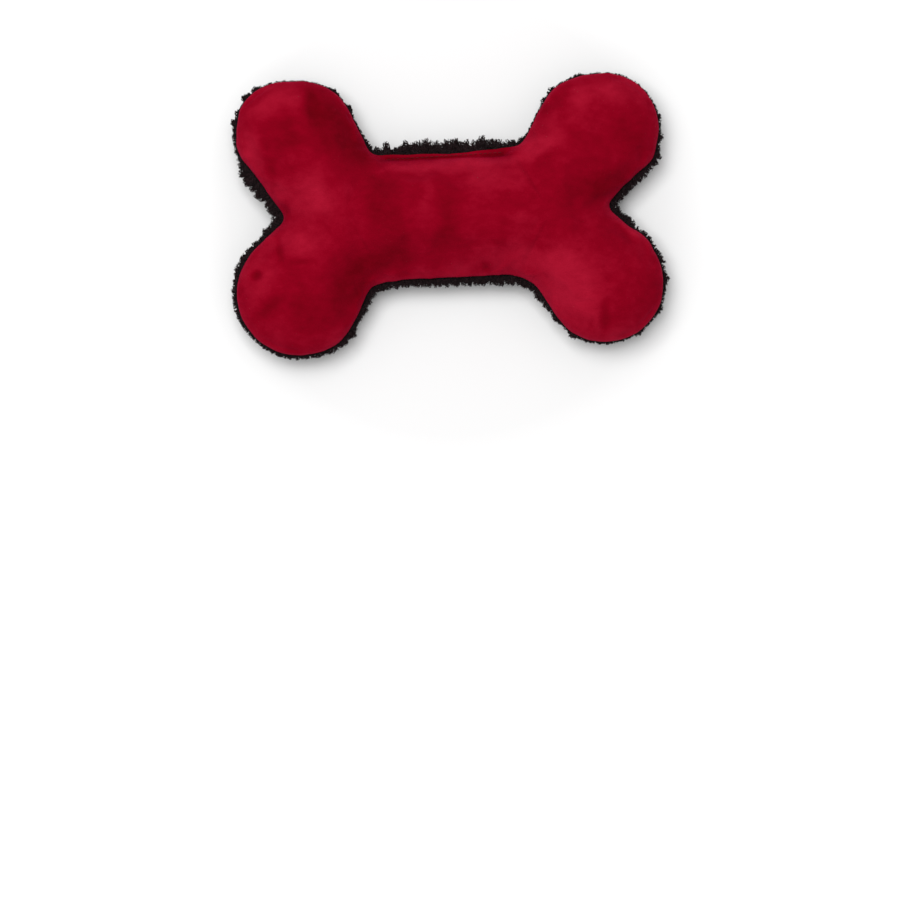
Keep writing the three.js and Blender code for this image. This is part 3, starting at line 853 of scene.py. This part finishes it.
def shade_smooth(mesh):
    mesh.polygons.foreach_set("use_smooth", np.ones(len(mesh.polygons), bool))


def dress(piece, material, node):
    """The last steps of every piece: its finish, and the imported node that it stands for."""
    piece.data.materials.clear()
    piece.data.materials.append(material)
    shade_smooth(piece.data)
    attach(piece, BODY)
    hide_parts(node)


thicken(face, VELOUR_THICKNESS)
dress(face, velour(), "front_panel")
print("Velour face finished with", len(face.data.polygons), "faces")

# %% [markdown]
# ## The shaggy side
# The back is one piece of curly pile cloth. Its backing is a shallow tray of plain cloth, and the pile
# stands on it in thousands of small curled locks. Blender's hair would grow them sooner, but hair isn't a
# mesh and would be lost in the export, so each lock is a small mesh. From above only the locks that roll
# out past the seam show, as a dark fringe: long over the closing seam, short round the knuckles. So the
# length by which they stand out is given at places round the edge and runs smoothly from one place to the
# next.

# %% How far the fringe stands out
# x and y near the edge and the overhang there, all in millimetres
FRINGE = [
    (104, 0, 4.8), (118, 19, 4.8), (130, 32, 3.8), (137, 48, 0.6), (134, 66, 0.6), (124, 80, 0.2),
    (100, 88, 0.1), (76, 83, 0.2), (61, 67, 0), (53, 52, 0.1), (45, 43, 3.6), (30, 41, 6.2), (0, 40, 6.3),
    (-32, 39, 7.2), (-46, 39, 5), (-52, 45, 1.8), (-58, 58, 0.2), (-70, 78, 0.2), (-97, 88, 0.1),
    (-122, 83, 0.2), (-136, 60, 0.1), (-134, 43, 2.4), (-125, 29, 8.1), (-113, 12, 5.6), (-106, 0, 6.2),
    (-112, -8, 4.4), (-121, -15, 3), (-133, -29, 3.8), (-138, -46, 2.4), (-134, -65, 2.1),
    (-125, -78, 1.1), (-109, -87, 1.9), (-91, -88, 1.5), (-75, -82, 3.2), (-63, -68, 2.6), (-55, -52, 3.7),
    (-41, -42, 4.5), (-23, -41, 3.7), (-5, -41, 4.8), (13, -40, 4.5), (40, -40, 5.7), (52, -44, 5.3),
    (60, -55, 2.8), (70, -70, 0.2), (84, -81, 0.8), (101, -85, 0.4), (118, -80, 0), (131, -68, 0.8),
    (137, -50, 1.1), (135, -34, 1.9), (125, -19, 3), (111, -7, 3.6),
]
# x and y of a single tuft, and how much further it stands out, in millimetres
TUFTS = [
    (-138, 62, 2.6), (-129, 80, 2.8), (-123, 84, 2), (-133, 69, 1.6), (-71, 82, 1.8), (-61, 70, 1.8),
    (85, 88, 1.4), (68, 78, 2), (64, 72, 1.2), (114, 87, 0.6), (137, 59, 1.6), (138, 47, 1.3),
    (137, 33, 1.6), (117, -8, 1.8), (128, -16, 1.6), (136, -32, 1.4), (139, -45, 1.8), (136, -64, 1.4),
    (122, -80, 1.4), (78, -81, 1.6), (68, -70, 1.8), (-66, -74, 1.8),
]


# %% The fringe all round
TUFT_WIDTH = 1.4 * MM


def fringe_lengths():
    """The overhang at each step of the edge."""
    spots = np.array(FRINGE)
    _, steps = nearest_edge(spots[:, :2] * MM)
    order = np.argsort(steps)
    every = np.arange(len(edge))
    even = np.interp(every, steps[order], spots[order, 2] * MM, period=len(edge))
    for x, y, further in TUFTS:
        away = np.linalg.norm(edge - np.array((x, y)) * MM, axis=1)
        even += further * MM * np.exp(-(((away - away.min()) / TUFT_WIDTH) ** 2))
    return even


fringe = fringe_lengths()
print("Fringe from", round(fringe.min() / MM, 1), "to", round(fringe.max() / MM, 1), "mm")

# %% The backing
PILE_HEIGHT = 7 * MM
BACKING_THICKNESS = 1.2 * MM
BACKING_SPACING = 5 * MM
BACKING_ROWS = np.array([1.5, 3.5]) * MM
SEAM_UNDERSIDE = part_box("back_panel")[1].z
TRAY_RIM = SEAM_UNDERSIDE - HEM_THICKNESS


def tray_height(share):
    return TRAY_RIM - (TRAY_RIM - PILE_HEIGHT) * swell(share)


tray_points, tray_faces = flat_cut(BACKING_SPACING, BACKING_ROWS)
tray_depth, tray_step = nearest_edge(tray_points)
tray_share, _ = crown_share(tray_points, tray_depth)
tray_places = np.c_[tray_points, tray_height(tray_share)]
under_faces = [side[::-1] for side in tray_faces]
tray = new_mesh("pile_backing", tray_places, under_faces)
turn_under(tray, up=True)
subdivide(tray)
thicken(tray, BACKING_THICKNESS)
print("Backing has", len(tray.data.polygons), "faces")

# %% [markdown]
# Just under the seam the pile is pressed out sideways by the stuffing, and its roots stand so close that
# they read as one solid black band. Locks alone would need to be many times as many to look so dense. So a
# closed roll follows the edge there, thick where the fringe is long and drawn in where the red face hides
# it, and the longer locks grow out of it. At the closing seam the pile was handled and stands in tufts.
# Elsewhere it lies calm, so there the roll is wider and the locks on it are shorter and more alike.

# %% The roll under the seam
ROLL_SHARE = 0.52
ROLL_SHARE_CALM = 0.74
ROLL_SETBACK = 0.15 * MM
ROLL_INNER = 1.2 * MM
ROLL_LEAST = 0.2 * MM
# how far out, as a share of the roll's width, and how far below the seam in millimetres, going down
ROLL_SECTION = [(0.0, 0.5), (0.45, 0.7), (0.85, 1.3), (1.0, 2.4), (0.9, 3.6), (0.5, 4.8), (0.0, 6.0)]


def by_seam(calm, tufted):
    """A value for each step of the edge: tufted at the closing seam, calm away from it."""
    return calm + (tufted - calm) * lip_share


def roll_rings():
    """The rings of the roll from top to bottom, each with the height of its points."""
    width = by_seam(ROLL_SHARE_CALM, ROLL_SHARE) * fringe - ROLL_SETBACK + ROLL_INNER
    width = np.maximum(width, ROLL_LEAST)
    rings = []
    for across, drop in ROLL_SECTION:
        level = np.full(len(edge), SEAM_UNDERSIDE - drop * MM)
        rings.append(np.c_[edge + edge_out * (across * width - ROLL_INNER)[:, None], level])
    return rings


def ring_quads(rows, closed=False):
    """Faces between rings of the edge that lie one under the other. Closed joins the last to the first."""
    count = len(edge)
    faces = []
    for row in range(rows if closed else rows - 1):
        a, b = row * count, (row + 1) % rows * count
        faces += [(a + k, b + k, b + (k + 1) % count, a + (k + 1) % count) for k in range(count)]
    return faces


roll_points = np.vstack(roll_rings())
roll = new_mesh("pile_roll", roll_points, ring_quads(len(ROLL_SECTION), closed=True))
subdivide(roll)
print("Roll has", len(roll.data.polygons), "faces")

# %% [markdown]
# One lock is three thin wisps that leave the cloth together and curl round each other. Four different locks
# are enough, because each copy is turned and sized at random. There are thousands of copies, so a wisp has
# only three sides and five steps.

# %% Four curled locks
LOCK_LENGTH = 8 * MM
WISP_SIDES = 3
WISP_STEPS = 5
WISPS_A_LOCK = 3
WISP_ROOT = 0.70 * MM
WISP_TIP_SHARE = 0.5
CURL_RADIUS = 1.25 * MM
CURL_AT_ROOT = 0.25
CURL_TURNS = [0.9, 1.2, 1.5, 1.1]
KIND_TURN = 1 / 7
SPREAD_LEAST = 0.8
SPREAD_MORE = 0.35


def wisp(turns, turn, spread):
    """Corners and faces of one curled wisp."""
    points, faces = [], []
    for step in range(WISP_STEPS + 1):
        t = step / WISP_STEPS
        angle = turn + 2 * math.pi * turns * t
        curl = CURL_RADIUS * spread * (CURL_AT_ROOT + (1 - CURL_AT_ROOT) * t)
        middle = Vector((curl * math.cos(angle), curl * math.sin(angle), LOCK_LENGTH * t))
        thick = WISP_ROOT * (1 - (1 - WISP_TIP_SHARE) * t)
        for side in range(WISP_SIDES):
            about = angle + 2 * math.pi * side / WISP_SIDES
            points.append(middle + Vector((math.cos(about), math.sin(about), 0)) * thick)
    for step in range(WISP_STEPS):
        for side in range(WISP_SIDES):
            a = step * WISP_SIDES + side
            b = step * WISP_SIDES + (side + 1) % WISP_SIDES
            faces.append((a, b, b + WISP_SIDES, a + WISP_SIDES))
    faces.append(tuple(range(WISP_SIDES))[::-1])
    faces.append(tuple(range(WISP_SIDES * WISP_STEPS, WISP_SIDES * (WISP_STEPS + 1))))
    return points, faces


def add_locks():
    """A hidden collection with one mesh for each kind of lock."""
    kinds = bpy.data.collections.new("locks")
    for kind, turns in enumerate(CURL_TURNS):
        points, faces = [], []
        for number in range(WISPS_A_LOCK):
            turn = 2 * math.pi * (number / WISPS_A_LOCK + kind * KIND_TURN)
            spread = SPREAD_LEAST + SPREAD_MORE * number / WISPS_A_LOCK
            more, sides = wisp(turns * (1 if number else -1), turn, spread)
            faces += [tuple(k + len(points) for k in side) for side in sides]
            points += more
        mesh = bpy.data.meshes.new(f"lock_{kind}")
        mesh.from_pydata(points, [], faces)
        shade_smooth(mesh)
        kinds.objects.link(bpy.data.objects.new(mesh.name, mesh))
    return kinds


locks = add_locks()

# %% [markdown]
# The copies could be placed by a loop in Python. Geometry Nodes do it faster and keep them evenly apart.
# The tree scatters points on the backing no nearer to each other than the spacing, stands a lock on each,
# leans it as the attribute on the backing says, and presses flat whatever would reach below the floor. The
# result is turned into a plain mesh.

# %% What both geometry trees share
def add_inputs(tree, inputs):
    """Named inputs of a geometry tree, its graph, and the wire of its group input."""
    for way in ("INPUT", "OUTPUT"):
        tree.interface.new_socket("Geometry", in_out=way, socket_type="NodeSocketGeometry")
    for name, kind in inputs.items():
        tree.interface.new_socket(name, in_out="INPUT", socket_type=f"NodeSocket{kind}")
    graph = Graph(tree)
    return graph, graph.node("NodeGroupInput", None, "Geometry")


def give_back(graph, geometry, finish):
    """Ends a geometry tree with the geometry in its finish."""
    done = graph.node("GeometryNodeSetMaterial", {"Geometry": geometry, "Material": finish})
    graph.node("NodeGroupOutput", {"Geometry": done})


def put_through(piece, tree, values):
    """The mesh that a geometry tree makes of an object, which is then thrown away."""
    modifier = piece.modifiers.new(tree.name, "NODES")
    modifier.node_group = tree
    for item in tree.interface.items_tree:
        if item.in_out == "INPUT" and item.name in values:
            modifier[item.identifier] = values[item.name]
    piece.update_tag()
    mesh = bpy.data.meshes.new_from_object(evaluated(piece))
    bpy.data.objects.remove(piece)
    return mesh


# %% A tree that grows locks
LEAN_STRAY = 0.45
LENGTH_STRAY = 0.28
# a lock's width grows with its reach and with its random size
WIDTH_OF_REACH = 0.35
WIDTH_OF_SIZE = 0.6
PRESS_LEVEL = 1.6 * MM


def random_value(graph, kind, low, high, seed):
    """A random number or vector for each copy."""
    first, output = {"FLOAT_VECTOR": (0, 0), "FLOAT": (2, 1), "INT": (4, 2)}[kind]
    sockets = {first: low, first + 1: high, "Seed": seed}
    return graph.node("FunctionNodeRandomValue", sockets, output, data_type=kind)


def lock_tree():
    tree = bpy.data.node_groups.new("grow_locks", "GeometryNodeTree")
    inputs = {"Spacing": "Float", "Seed": "Int", "Locks": "Collection", "Finish": "Material"}
    graph, given = add_inputs(tree, inputs)
    seed = given.other("Seed")
    scatter = {"Distance Min": given.other("Spacing"), "Density Max": 1e6, "Seed": seed}
    points = graph.node(
        "GeometryNodeDistributePointsOnFaces", {"Mesh": given, **scatter}, "Points",
        distribute_method="POISSON",
    )
    lean = graph.node("GeometryNodeInputNamedAttribute", {"Name": "lean"}, data_type="FLOAT_VECTOR")
    stray = random_value(graph, "FLOAT_VECTOR", (-LEAN_STRAY,) * 3, (LEAN_STRAY,) * 3, seed + 1)
    aim = graph.vector_math("ADD", graph.vector_math("NORMALIZE", lean), stray)
    stood = graph.node("FunctionNodeAlignRotationToVector", {"Vector": aim}, axis="Z")
    spin = random_value(graph, "FLOAT", 0.0, 2 * math.pi, seed + 2)
    about = graph.node("FunctionNodeAxisAngleToRotation", {"Axis": (0, 0, 1), "Angle": spin})
    turn = {"Rotation": stood, "Rotate By": about}
    turned = graph.node("FunctionNodeRotateRotation", turn, rotation_space="LOCAL")
    size = random_value(graph, "FLOAT", 1 - LENGTH_STRAY, 1 + LENGTH_STRAY, seed + 3)
    reach = graph.vector_math("LENGTH", lean, output="Value") * size * (1 / LOCK_LENGTH)
    width = reach * WIDTH_OF_REACH + size * WIDTH_OF_SIZE
    which = {"Collection": given.other("Locks"), "Separate Children": True, "Reset Children": True}
    copies = graph.node("GeometryNodeInstanceOnPoints", {
        "Points": points,
        "Instance": graph.node("GeometryNodeCollectionInfo", which),
        "Pick Instance": True,
        "Instance Index": random_value(graph, "INT", 0, len(CURL_TURNS) - 1, seed + 4),
        "Rotation": turned,
        "Scale": graph.vector(X=width, Y=width, Z=reach),
    })
    tone = {"Name": "tone", "Value": random_value(graph, "FLOAT", 0.0, 1.0, seed + 5)}
    toned = graph.node(
        "GeometryNodeStoreNamedAttribute", {"Geometry": copies, **tone},
        data_type="FLOAT", domain="INSTANCE",
    )
    real = graph.node("GeometryNodeRealizeInstances", {"Geometry": toned})
    height = graph.node("ShaderNodeSeparateXYZ", {0: graph.node("GeometryNodeInputPosition")}, "Z")
    above = height.math("MAXIMUM", height, PRESS_LEVEL)
    under = height.math("MINIMUM", height - PRESS_LEVEL, 0) * (1 / PRESS_LEVEL)
    pressed = above - PRESS_LEVEL + height.math("EXPONENT", under, 0) * PRESS_LEVEL
    level = graph.vector(X=height.other("X"), Y=height.other("Y"), Z=pressed)
    laid = graph.node("GeometryNodeSetPosition", {"Geometry": real, "Position": level})
    give_back(graph, laid, given.other("Finish"))
    return tree


grow = lock_tree()
print("Lock tree has", len(grow.nodes), "nodes")

# %% [markdown]
# The pile is black with a trace of brown. Each lock is a little lighter or darker than the next. All locks
# of a piece are one mesh, so the tree writes that tone on them as an attribute, and the material reads it.
# A weak sheen stands for the gloss of the fibres.

# %% Black pile
PILE_DARK = (0.0052, 0.0020, 0.0025)
PILE_LIGHT = (0.0190, 0.0080, 0.0095)


def black_pile():
    material, graph, place = new_finish("black_pile")
    fibres = graph.noise(place, 0.6 * MM, 2, 0.6)
    tone = graph.attribute("tone") * 0.7 + fibres * 0.5 - 0.1
    colour = graph.ramp(tone, (0.0, PILE_DARK), (1.0, PILE_LIGHT))
    sheen = {"Sheen_Weight": 0.03, "Sheen_Roughness": 0.5, "Sheen_Tint": (0.9, 0.75, 0.78, 1)}
    bump = graph.bump(fibres, 0.3 * MM, 0.5)
    graph.surface(colour, bump, Roughness=0.8, Specular_IOR_Level=0.12, **sheen)
    return material


pile_finish = black_pile()
for piece in (tray, roll):
    dress(piece, pile_finish, "back_panel")
print("Pile finish has", len(pile_finish.node_tree.nodes), "nodes")

# %% [markdown]
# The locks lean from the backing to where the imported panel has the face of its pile: outwards and down at
# the seam, straight down in the middle. On the roll they fan out from nearly level to steeply down, grow
# much closer together and clump into tufts. The pile is grown in five pieces, one for each knuckle and one
# for the waist, so that no mesh gets too heavy.

# %% How the locks lean
DROP_AT_SEAM = 2.6 * MM
TIP_SHARE = 0.6
TIP_SHARE_CALM = 0.4
TIP_LEAST = 1.1 * MM
FAN_TOP = math.radians(12)
FAN_BOTTOM = math.radians(-65)
CLUMP_SIZE = 5 * MM
CLUMP_SHARE = 0.8
CLUMP_SHARE_CALM = 0.4
SWAY_SIZE = 9 * MM
SWAY = 0.9
SWAY_AT_WAIST = 0.35
GATHER = 1.4


def under_lean():
    """Lean of the locks on the tray, in metres."""
    out = edge_out[tray_step] * (fringe[tray_step] * (1 - tray_share))[:, None]
    drop = DROP_AT_SEAM + (PILE_HEIGHT - DROP_AT_SEAM) * swell(tray_share)
    return np.c_[out, -drop]


def roll_lean():
    """Lean of the locks on the roll, ring by ring."""
    clump = cloudy(flat_edge, CLUMP_SIZE, seed=3)
    length = by_seam(TIP_SHARE_CALM, TIP_SHARE) * fringe + TIP_LEAST
    length *= 1 + by_seam(CLUMP_SHARE_CALM, CLUMP_SHARE) * clump
    rise = (np.roll(clump, -1) - np.roll(clump, 1)) / 2
    sway = SWAY * cloudy(flat_edge, SWAY_SIZE, seed=4) + SWAY_AT_WAIST * lip_share + GATHER * rise
    along = np.stack([-edge_out[:, 1], edge_out[:, 0]], axis=1)
    aim = edge_out + along * sway[:, None]
    aim /= np.linalg.norm(aim, axis=1)[:, None]
    fan = np.linspace(FAN_TOP, FAN_BOTTOM, len(ROLL_SECTION))
    rings = [np.c_[aim * math.cos(angle), np.full(len(edge), math.sin(angle))] for angle in fan]
    return np.vstack([ring * length[:, None] for ring in rings])


tray_leans = under_lean()
roll_leans = roll_lean()
print("Longest lean", round(np.linalg.norm(roll_leans, axis=1).max() / MM, 1), "mm")

# %% Five regions
KNUCKLE_FROM = 55 * MM
REGIONS = ["waist", "lower_left", "lower_right", "upper_left", "upper_right"]


def region_of(points):
    """Which of the five regions each point belongs to: 0 for the waist, 1 to 4 for the knuckles."""
    x, y = points[:, 0], points[:, 1]
    return np.where(np.abs(x) < KNUCKLE_FROM, 0, 1 + 2 * (y > waist_line) + (x > 0))


def sheet_of(points, faces, lean, region):
    """A temporary sheet with one region's faces, for the locks to grow on."""
    middles = points[np.array([side[:3] for side in faces])].mean(axis=1)
    here = region_of(middles) == region
    sheet = new_mesh("sheet", points, [side for side, kept in zip(faces, here) if kept])
    attribute = sheet.data.attributes.new("lean", "FLOAT_VECTOR", "POINT")
    attribute.data.foreach_set("vector", lean.astype(np.float32).ravel())
    return sheet


# %% Growing the pile
PILE_SPACING = 2.5 * MM
FRINGE_SPACING = 1.2 * MM
UNDER_SEED = 10
ROLL_SEED = 30


def grown(sheet, spacing, seed):
    """The mesh of the locks that grow on a sheet."""
    values = {"Spacing": spacing, "Seed": seed, "Locks": locks, "Finish": pile_finish}
    return put_through(sheet, grow, values)


def joined(name, meshes):
    """One object made of several meshes."""
    bm = bmesh.new()
    for mesh in meshes:
        bm.from_mesh(mesh)
    whole = bpy.data.meshes.new(name)
    bm.to_mesh(whole)
    bm.free()
    return placed(name, whole)


def triangle_count(mesh):
    return sum(len(p.vertices) - 2 for p in mesh.polygons)


roll_faces = ring_quads(len(ROLL_SECTION))
for region, name in enumerate(REGIONS):
    under = sheet_of(tray_places, under_faces, tray_leans, region)
    rolled = sheet_of(roll_points, roll_faces, roll_leans, region)
    locks_under = grown(under, PILE_SPACING, UNDER_SEED + region)
    locks_out = grown(rolled, FRINGE_SPACING, ROLL_SEED + region)
    pile = joined(f"pile_{name}", [locks_under, locks_out])
    dress(pile, pile_finish, "back_panel")
    print(pile.name, triangle_count(pile.data), "triangles")

# %% [markdown]
# ## Topstitching
# The bone was turned and filled through a gap in its upper edge, and that gap was closed from outside, by a
# row of stitches through both cloths. Such a row is the classic job for Geometry Nodes: one stitch, copied
# along a path. The path lies on the finished cloth, so its height is read off the mesh with a ray.

# %% The path of the stitches
STITCH_INSET = 2.2 * MM
STITCH_LENGTH = 2.3 * MM
STITCH_GAP = 0.8 * MM
STITCH_THREAD = 0.22 * MM
STITCH_RISE = 0.25 * MM
ARC_STEPS = 6
THREAD_SIDES = 6


def face_tree():
    """The red face as a tree that answers rays."""
    bm = bmesh.new()
    bm.from_mesh(face.data)
    tree = BVHTree.FromBMesh(bm)
    bm.free()
    return tree


def top_of(tree, x, y):
    """Height of the red face over a point, or None beside it."""
    place, *_ = tree.ray_cast(Vector((x, y, 1)), Vector((0, 0, -1)))
    return place.z if place else None


red_tree = face_tree()
row = edge - edge_out * STITCH_INSET
row = row[(row[:, 1] > waist_line) & (row[:, 0] > stitch_low.x) & (row[:, 0] < stitch_high.x)]
row = row[np.argsort(row[:, 0])]
stitch_path = [(x, y, top_of(red_tree, x, y)) for x, y in row]
print(len(stitch_path), "points under the stitches")

# %% A tree that sews
def stitch_tree():
    tree = bpy.data.node_groups.new("sew_row", "GeometryNodeTree")
    lengths = dict.fromkeys(["Stitch", "Gap", "Thread", "Rise"], "Float")
    graph, given = add_inputs(tree, {**lengths, "Finish": "Material"})
    stitch, rise = given.other("Stitch"), given.other("Rise")
    start, end = (graph.vector(X=stitch * half, Z=rise * -1) for half in (-0.5, 0.5))
    bow = {"Resolution": ARC_STEPS, "Start": start, "Middle": graph.vector(Z=rise * 3), "End": end}
    arc = graph.node("GeometryNodeCurveQuadraticBezier", bow)
    round_thread = {"Resolution": THREAD_SIDES, "Radius": given.other("Thread")}
    profile = graph.node("GeometryNodeCurvePrimitiveCircle", round_thread)
    one = graph.node("GeometryNodeCurveToMesh", {"Curve": arc, "Profile Curve": profile, "Fill Caps": True})
    pace = {"Curve": given, "Length": stitch + given.other("Gap")}
    places = graph.node("GeometryNodeCurveToPoints", pace, mode="LENGTH")
    run = {"Vector": places.other("Tangent")}
    turned = graph.node("FunctionNodeAlignRotationToVector", run, axis="X")
    copying = {"Points": places, "Instance": one, "Rotation": turned}
    copies = graph.node("GeometryNodeInstanceOnPoints", copying)
    real = graph.node("GeometryNodeRealizeInstances", {"Geometry": copies})
    give_back(graph, real, given.other("Finish"))
    return tree


sewing = stitch_tree()
print("Stitch tree has", len(sewing.nodes), "nodes")


# %% Sewing the row
def thread(name, dark, light):
    """Spun thread: fine ridges that run round it at a slant."""
    material, graph, place = new_finish(name)
    ply = graph.noise(graph.stretched(place, 0.5, (1, 4, 1)), 0.5 * MM, 2, 0.6)
    colour = graph.ramp(ply, (0.25, dark), (0.8, light))
    graph.surface(colour, graph.bump(ply, 0.15 * MM, 0.6), Roughness=0.7, Specular_IOR_Level=0.2)
    return material


def path_object(name, points):
    curve = bpy.data.curves.new(name, "CURVE")
    curve.dimensions = "3D"
    spline = curve.splines.new("POLY")
    spline.points.add(len(points) - 1)
    for point, place in zip(spline.points, points):
        point.co = (*place, 1)
    return placed(name, curve)


def sew(path, finish):
    """The piece that a row of stitches along a path makes."""
    values = {"Stitch": STITCH_LENGTH, "Gap": STITCH_GAP, "Thread": STITCH_THREAD, "Rise": STITCH_RISE}
    return placed("topstitching", put_through(path, sewing, {**values, "Finish": finish}))


red_thread = thread("red_thread", (0.085, 0.0004, 0.0035), (0.16, 0.001, 0.007))
stitches = sew(path_object("stitch_path", stitch_path), red_thread)
dress(stitches, red_thread, "closing_topstitch")
print("Topstitching has", len(stitches.data.polygons), "faces")

# %% [markdown]
# ## The stuffing
# Five wads of loose polyester fibre fill the cloth. They aren't seen while the seam holds, yet they are
# real pieces, so they get a soft lumpy form of their own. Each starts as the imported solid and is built
# anew from even cells, because the solid's long triangles can't take lumps. Then it gets them, and is
# pressed in wherever the cloth over it dips.

# %% Fibre
def fibre():
    """Loose white fibre, cloudy and matt, with fine strands in the bump."""
    material, graph, place = new_finish("fibre")
    cloud = graph.noise(place, 6 * MM, 4, 0.6)
    strands = graph.noise(graph.stretched(place, 0.7, (1, 5, 2)), 1.2 * MM, 3, 0.7, 1.5)
    colour = graph.ramp(cloud, (0.3, (0.62, 0.61, 0.58)), (0.7, (0.78, 0.77, 0.74)))
    bump = graph.bump(strands, 0.6 * MM, 0.7, graph.bump(cloud, 2 * MM, 0.4))
    graph.surface(colour, bump, Roughness=0.95, Specular_IOR_Level=0.1, Sheen_Weight=0.2)
    return material


# %% Wads
WAD_CELL = 2.6 * MM
WAD_SLACK = 0.9 * MM
LUMP_SIZE = 9 * MM
LUMP_DEPTH = 0.8 * MM
CLOTH_GAP = 0.5 * MM
WELD_WITHIN = 0.01 * MM


def wad(node, finish):
    """A lumpy wad in the space of one packed filling."""
    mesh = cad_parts[node].data.copy()
    bm = bmesh.new()
    bm.from_mesh(mesh)
    bmesh.ops.remove_doubles(bm, verts=bm.verts, dist=WELD_WITHIN)
    bm.to_mesh(mesh)
    bm.free()
    piece = placed(node.replace("filling", "wad"), mesh)
    cells = piece.modifiers.new("cells", "REMESH")
    cells.mode = "VOXEL"
    cells.voxel_size = WAD_CELL
    apply_modifiers(piece)
    places = vertex_places(piece.data)
    normals = np.array([v.normal for v in piece.data.vertices])
    inward = WAD_SLACK + LUMP_DEPTH * (1 + cloudy(places, LUMP_SIZE, seed=5)) / 2
    places -= normals * inward[:, None]
    for place in places:
        top = top_of(red_tree, place[0], place[1])
        if top is not None:
            place[2] = min(place[2], top - VELOUR_THICKNESS - CLOTH_GAP)
    place_vertices(piece.data, places)
    dress(piece, finish, node)
    return piece


fibre_finish = fibre()
for node in sorted(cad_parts):
    if node.startswith("filling"):
        piece = wad(node, fibre_finish)
        print(piece.name, len(piece.data.polygons), "faces")

# %% [markdown]
# ## The squeaker
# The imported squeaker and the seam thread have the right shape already, so they stay and only get their
# finishes. The bulb is blown from soft milky plastic, with a faint flow in it. The reed's tube, seat and
# wedge are moulded in hard white plastic, and the reed itself is a strip of clear stiff film.

# %% Finishes of the inner parts
def plastic(name, dark, light, roughness, cloud_size, **more):
    """Plastic with a faint cloud in its colour and a slightly uneven skin."""
    material, graph, place = new_finish(name)
    cloud = graph.noise(place, cloud_size, 3, 0.55)
    skin = graph.noise(place, 0.8 * MM, 2, 0.5)
    colour = graph.ramp(cloud, (0.3, dark), (0.7, light))
    bump = graph.bump(skin, 0.08 * MM, 0.35)
    graph.surface(colour, bump, Roughness=skin * 0.12 + roughness, **more)
    return material


milky = plastic(
    "soft_plastic", (0.60, 0.58, 0.52), (0.72, 0.70, 0.64), roughness=0.34, cloud_size=12 * MM,
    Subsurface_Weight=0.25, Subsurface_Radius=(0.004, 0.004, 0.003),
)
white = plastic(
    "hard_plastic", (0.74, 0.74, 0.72), (0.82, 0.82, 0.80), roughness=0.26, cloud_size=5 * MM
)
clear = plastic(
    "reed_film", (0.66, 0.70, 0.72), (0.78, 0.82, 0.84), roughness=0.10, cloud_size=3 * MM,
    Transmission_Weight=0.5, IOR=1.5,
)
FINISHES = {
    "seam_thread": thread("black_thread", (0.006, 0.005, 0.006), (0.03, 0.026, 0.028)),
    "squeaker_bulb": milky,
    "reed_housing": white,
    "reed_seat": white,
    "reed_wedge": white,
    "squeaker_reed": clear,
}
for node, finish in FINISHES.items():
    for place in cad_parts[node].material_slots:
        place.material = finish
    print(finish.name, "on", node)
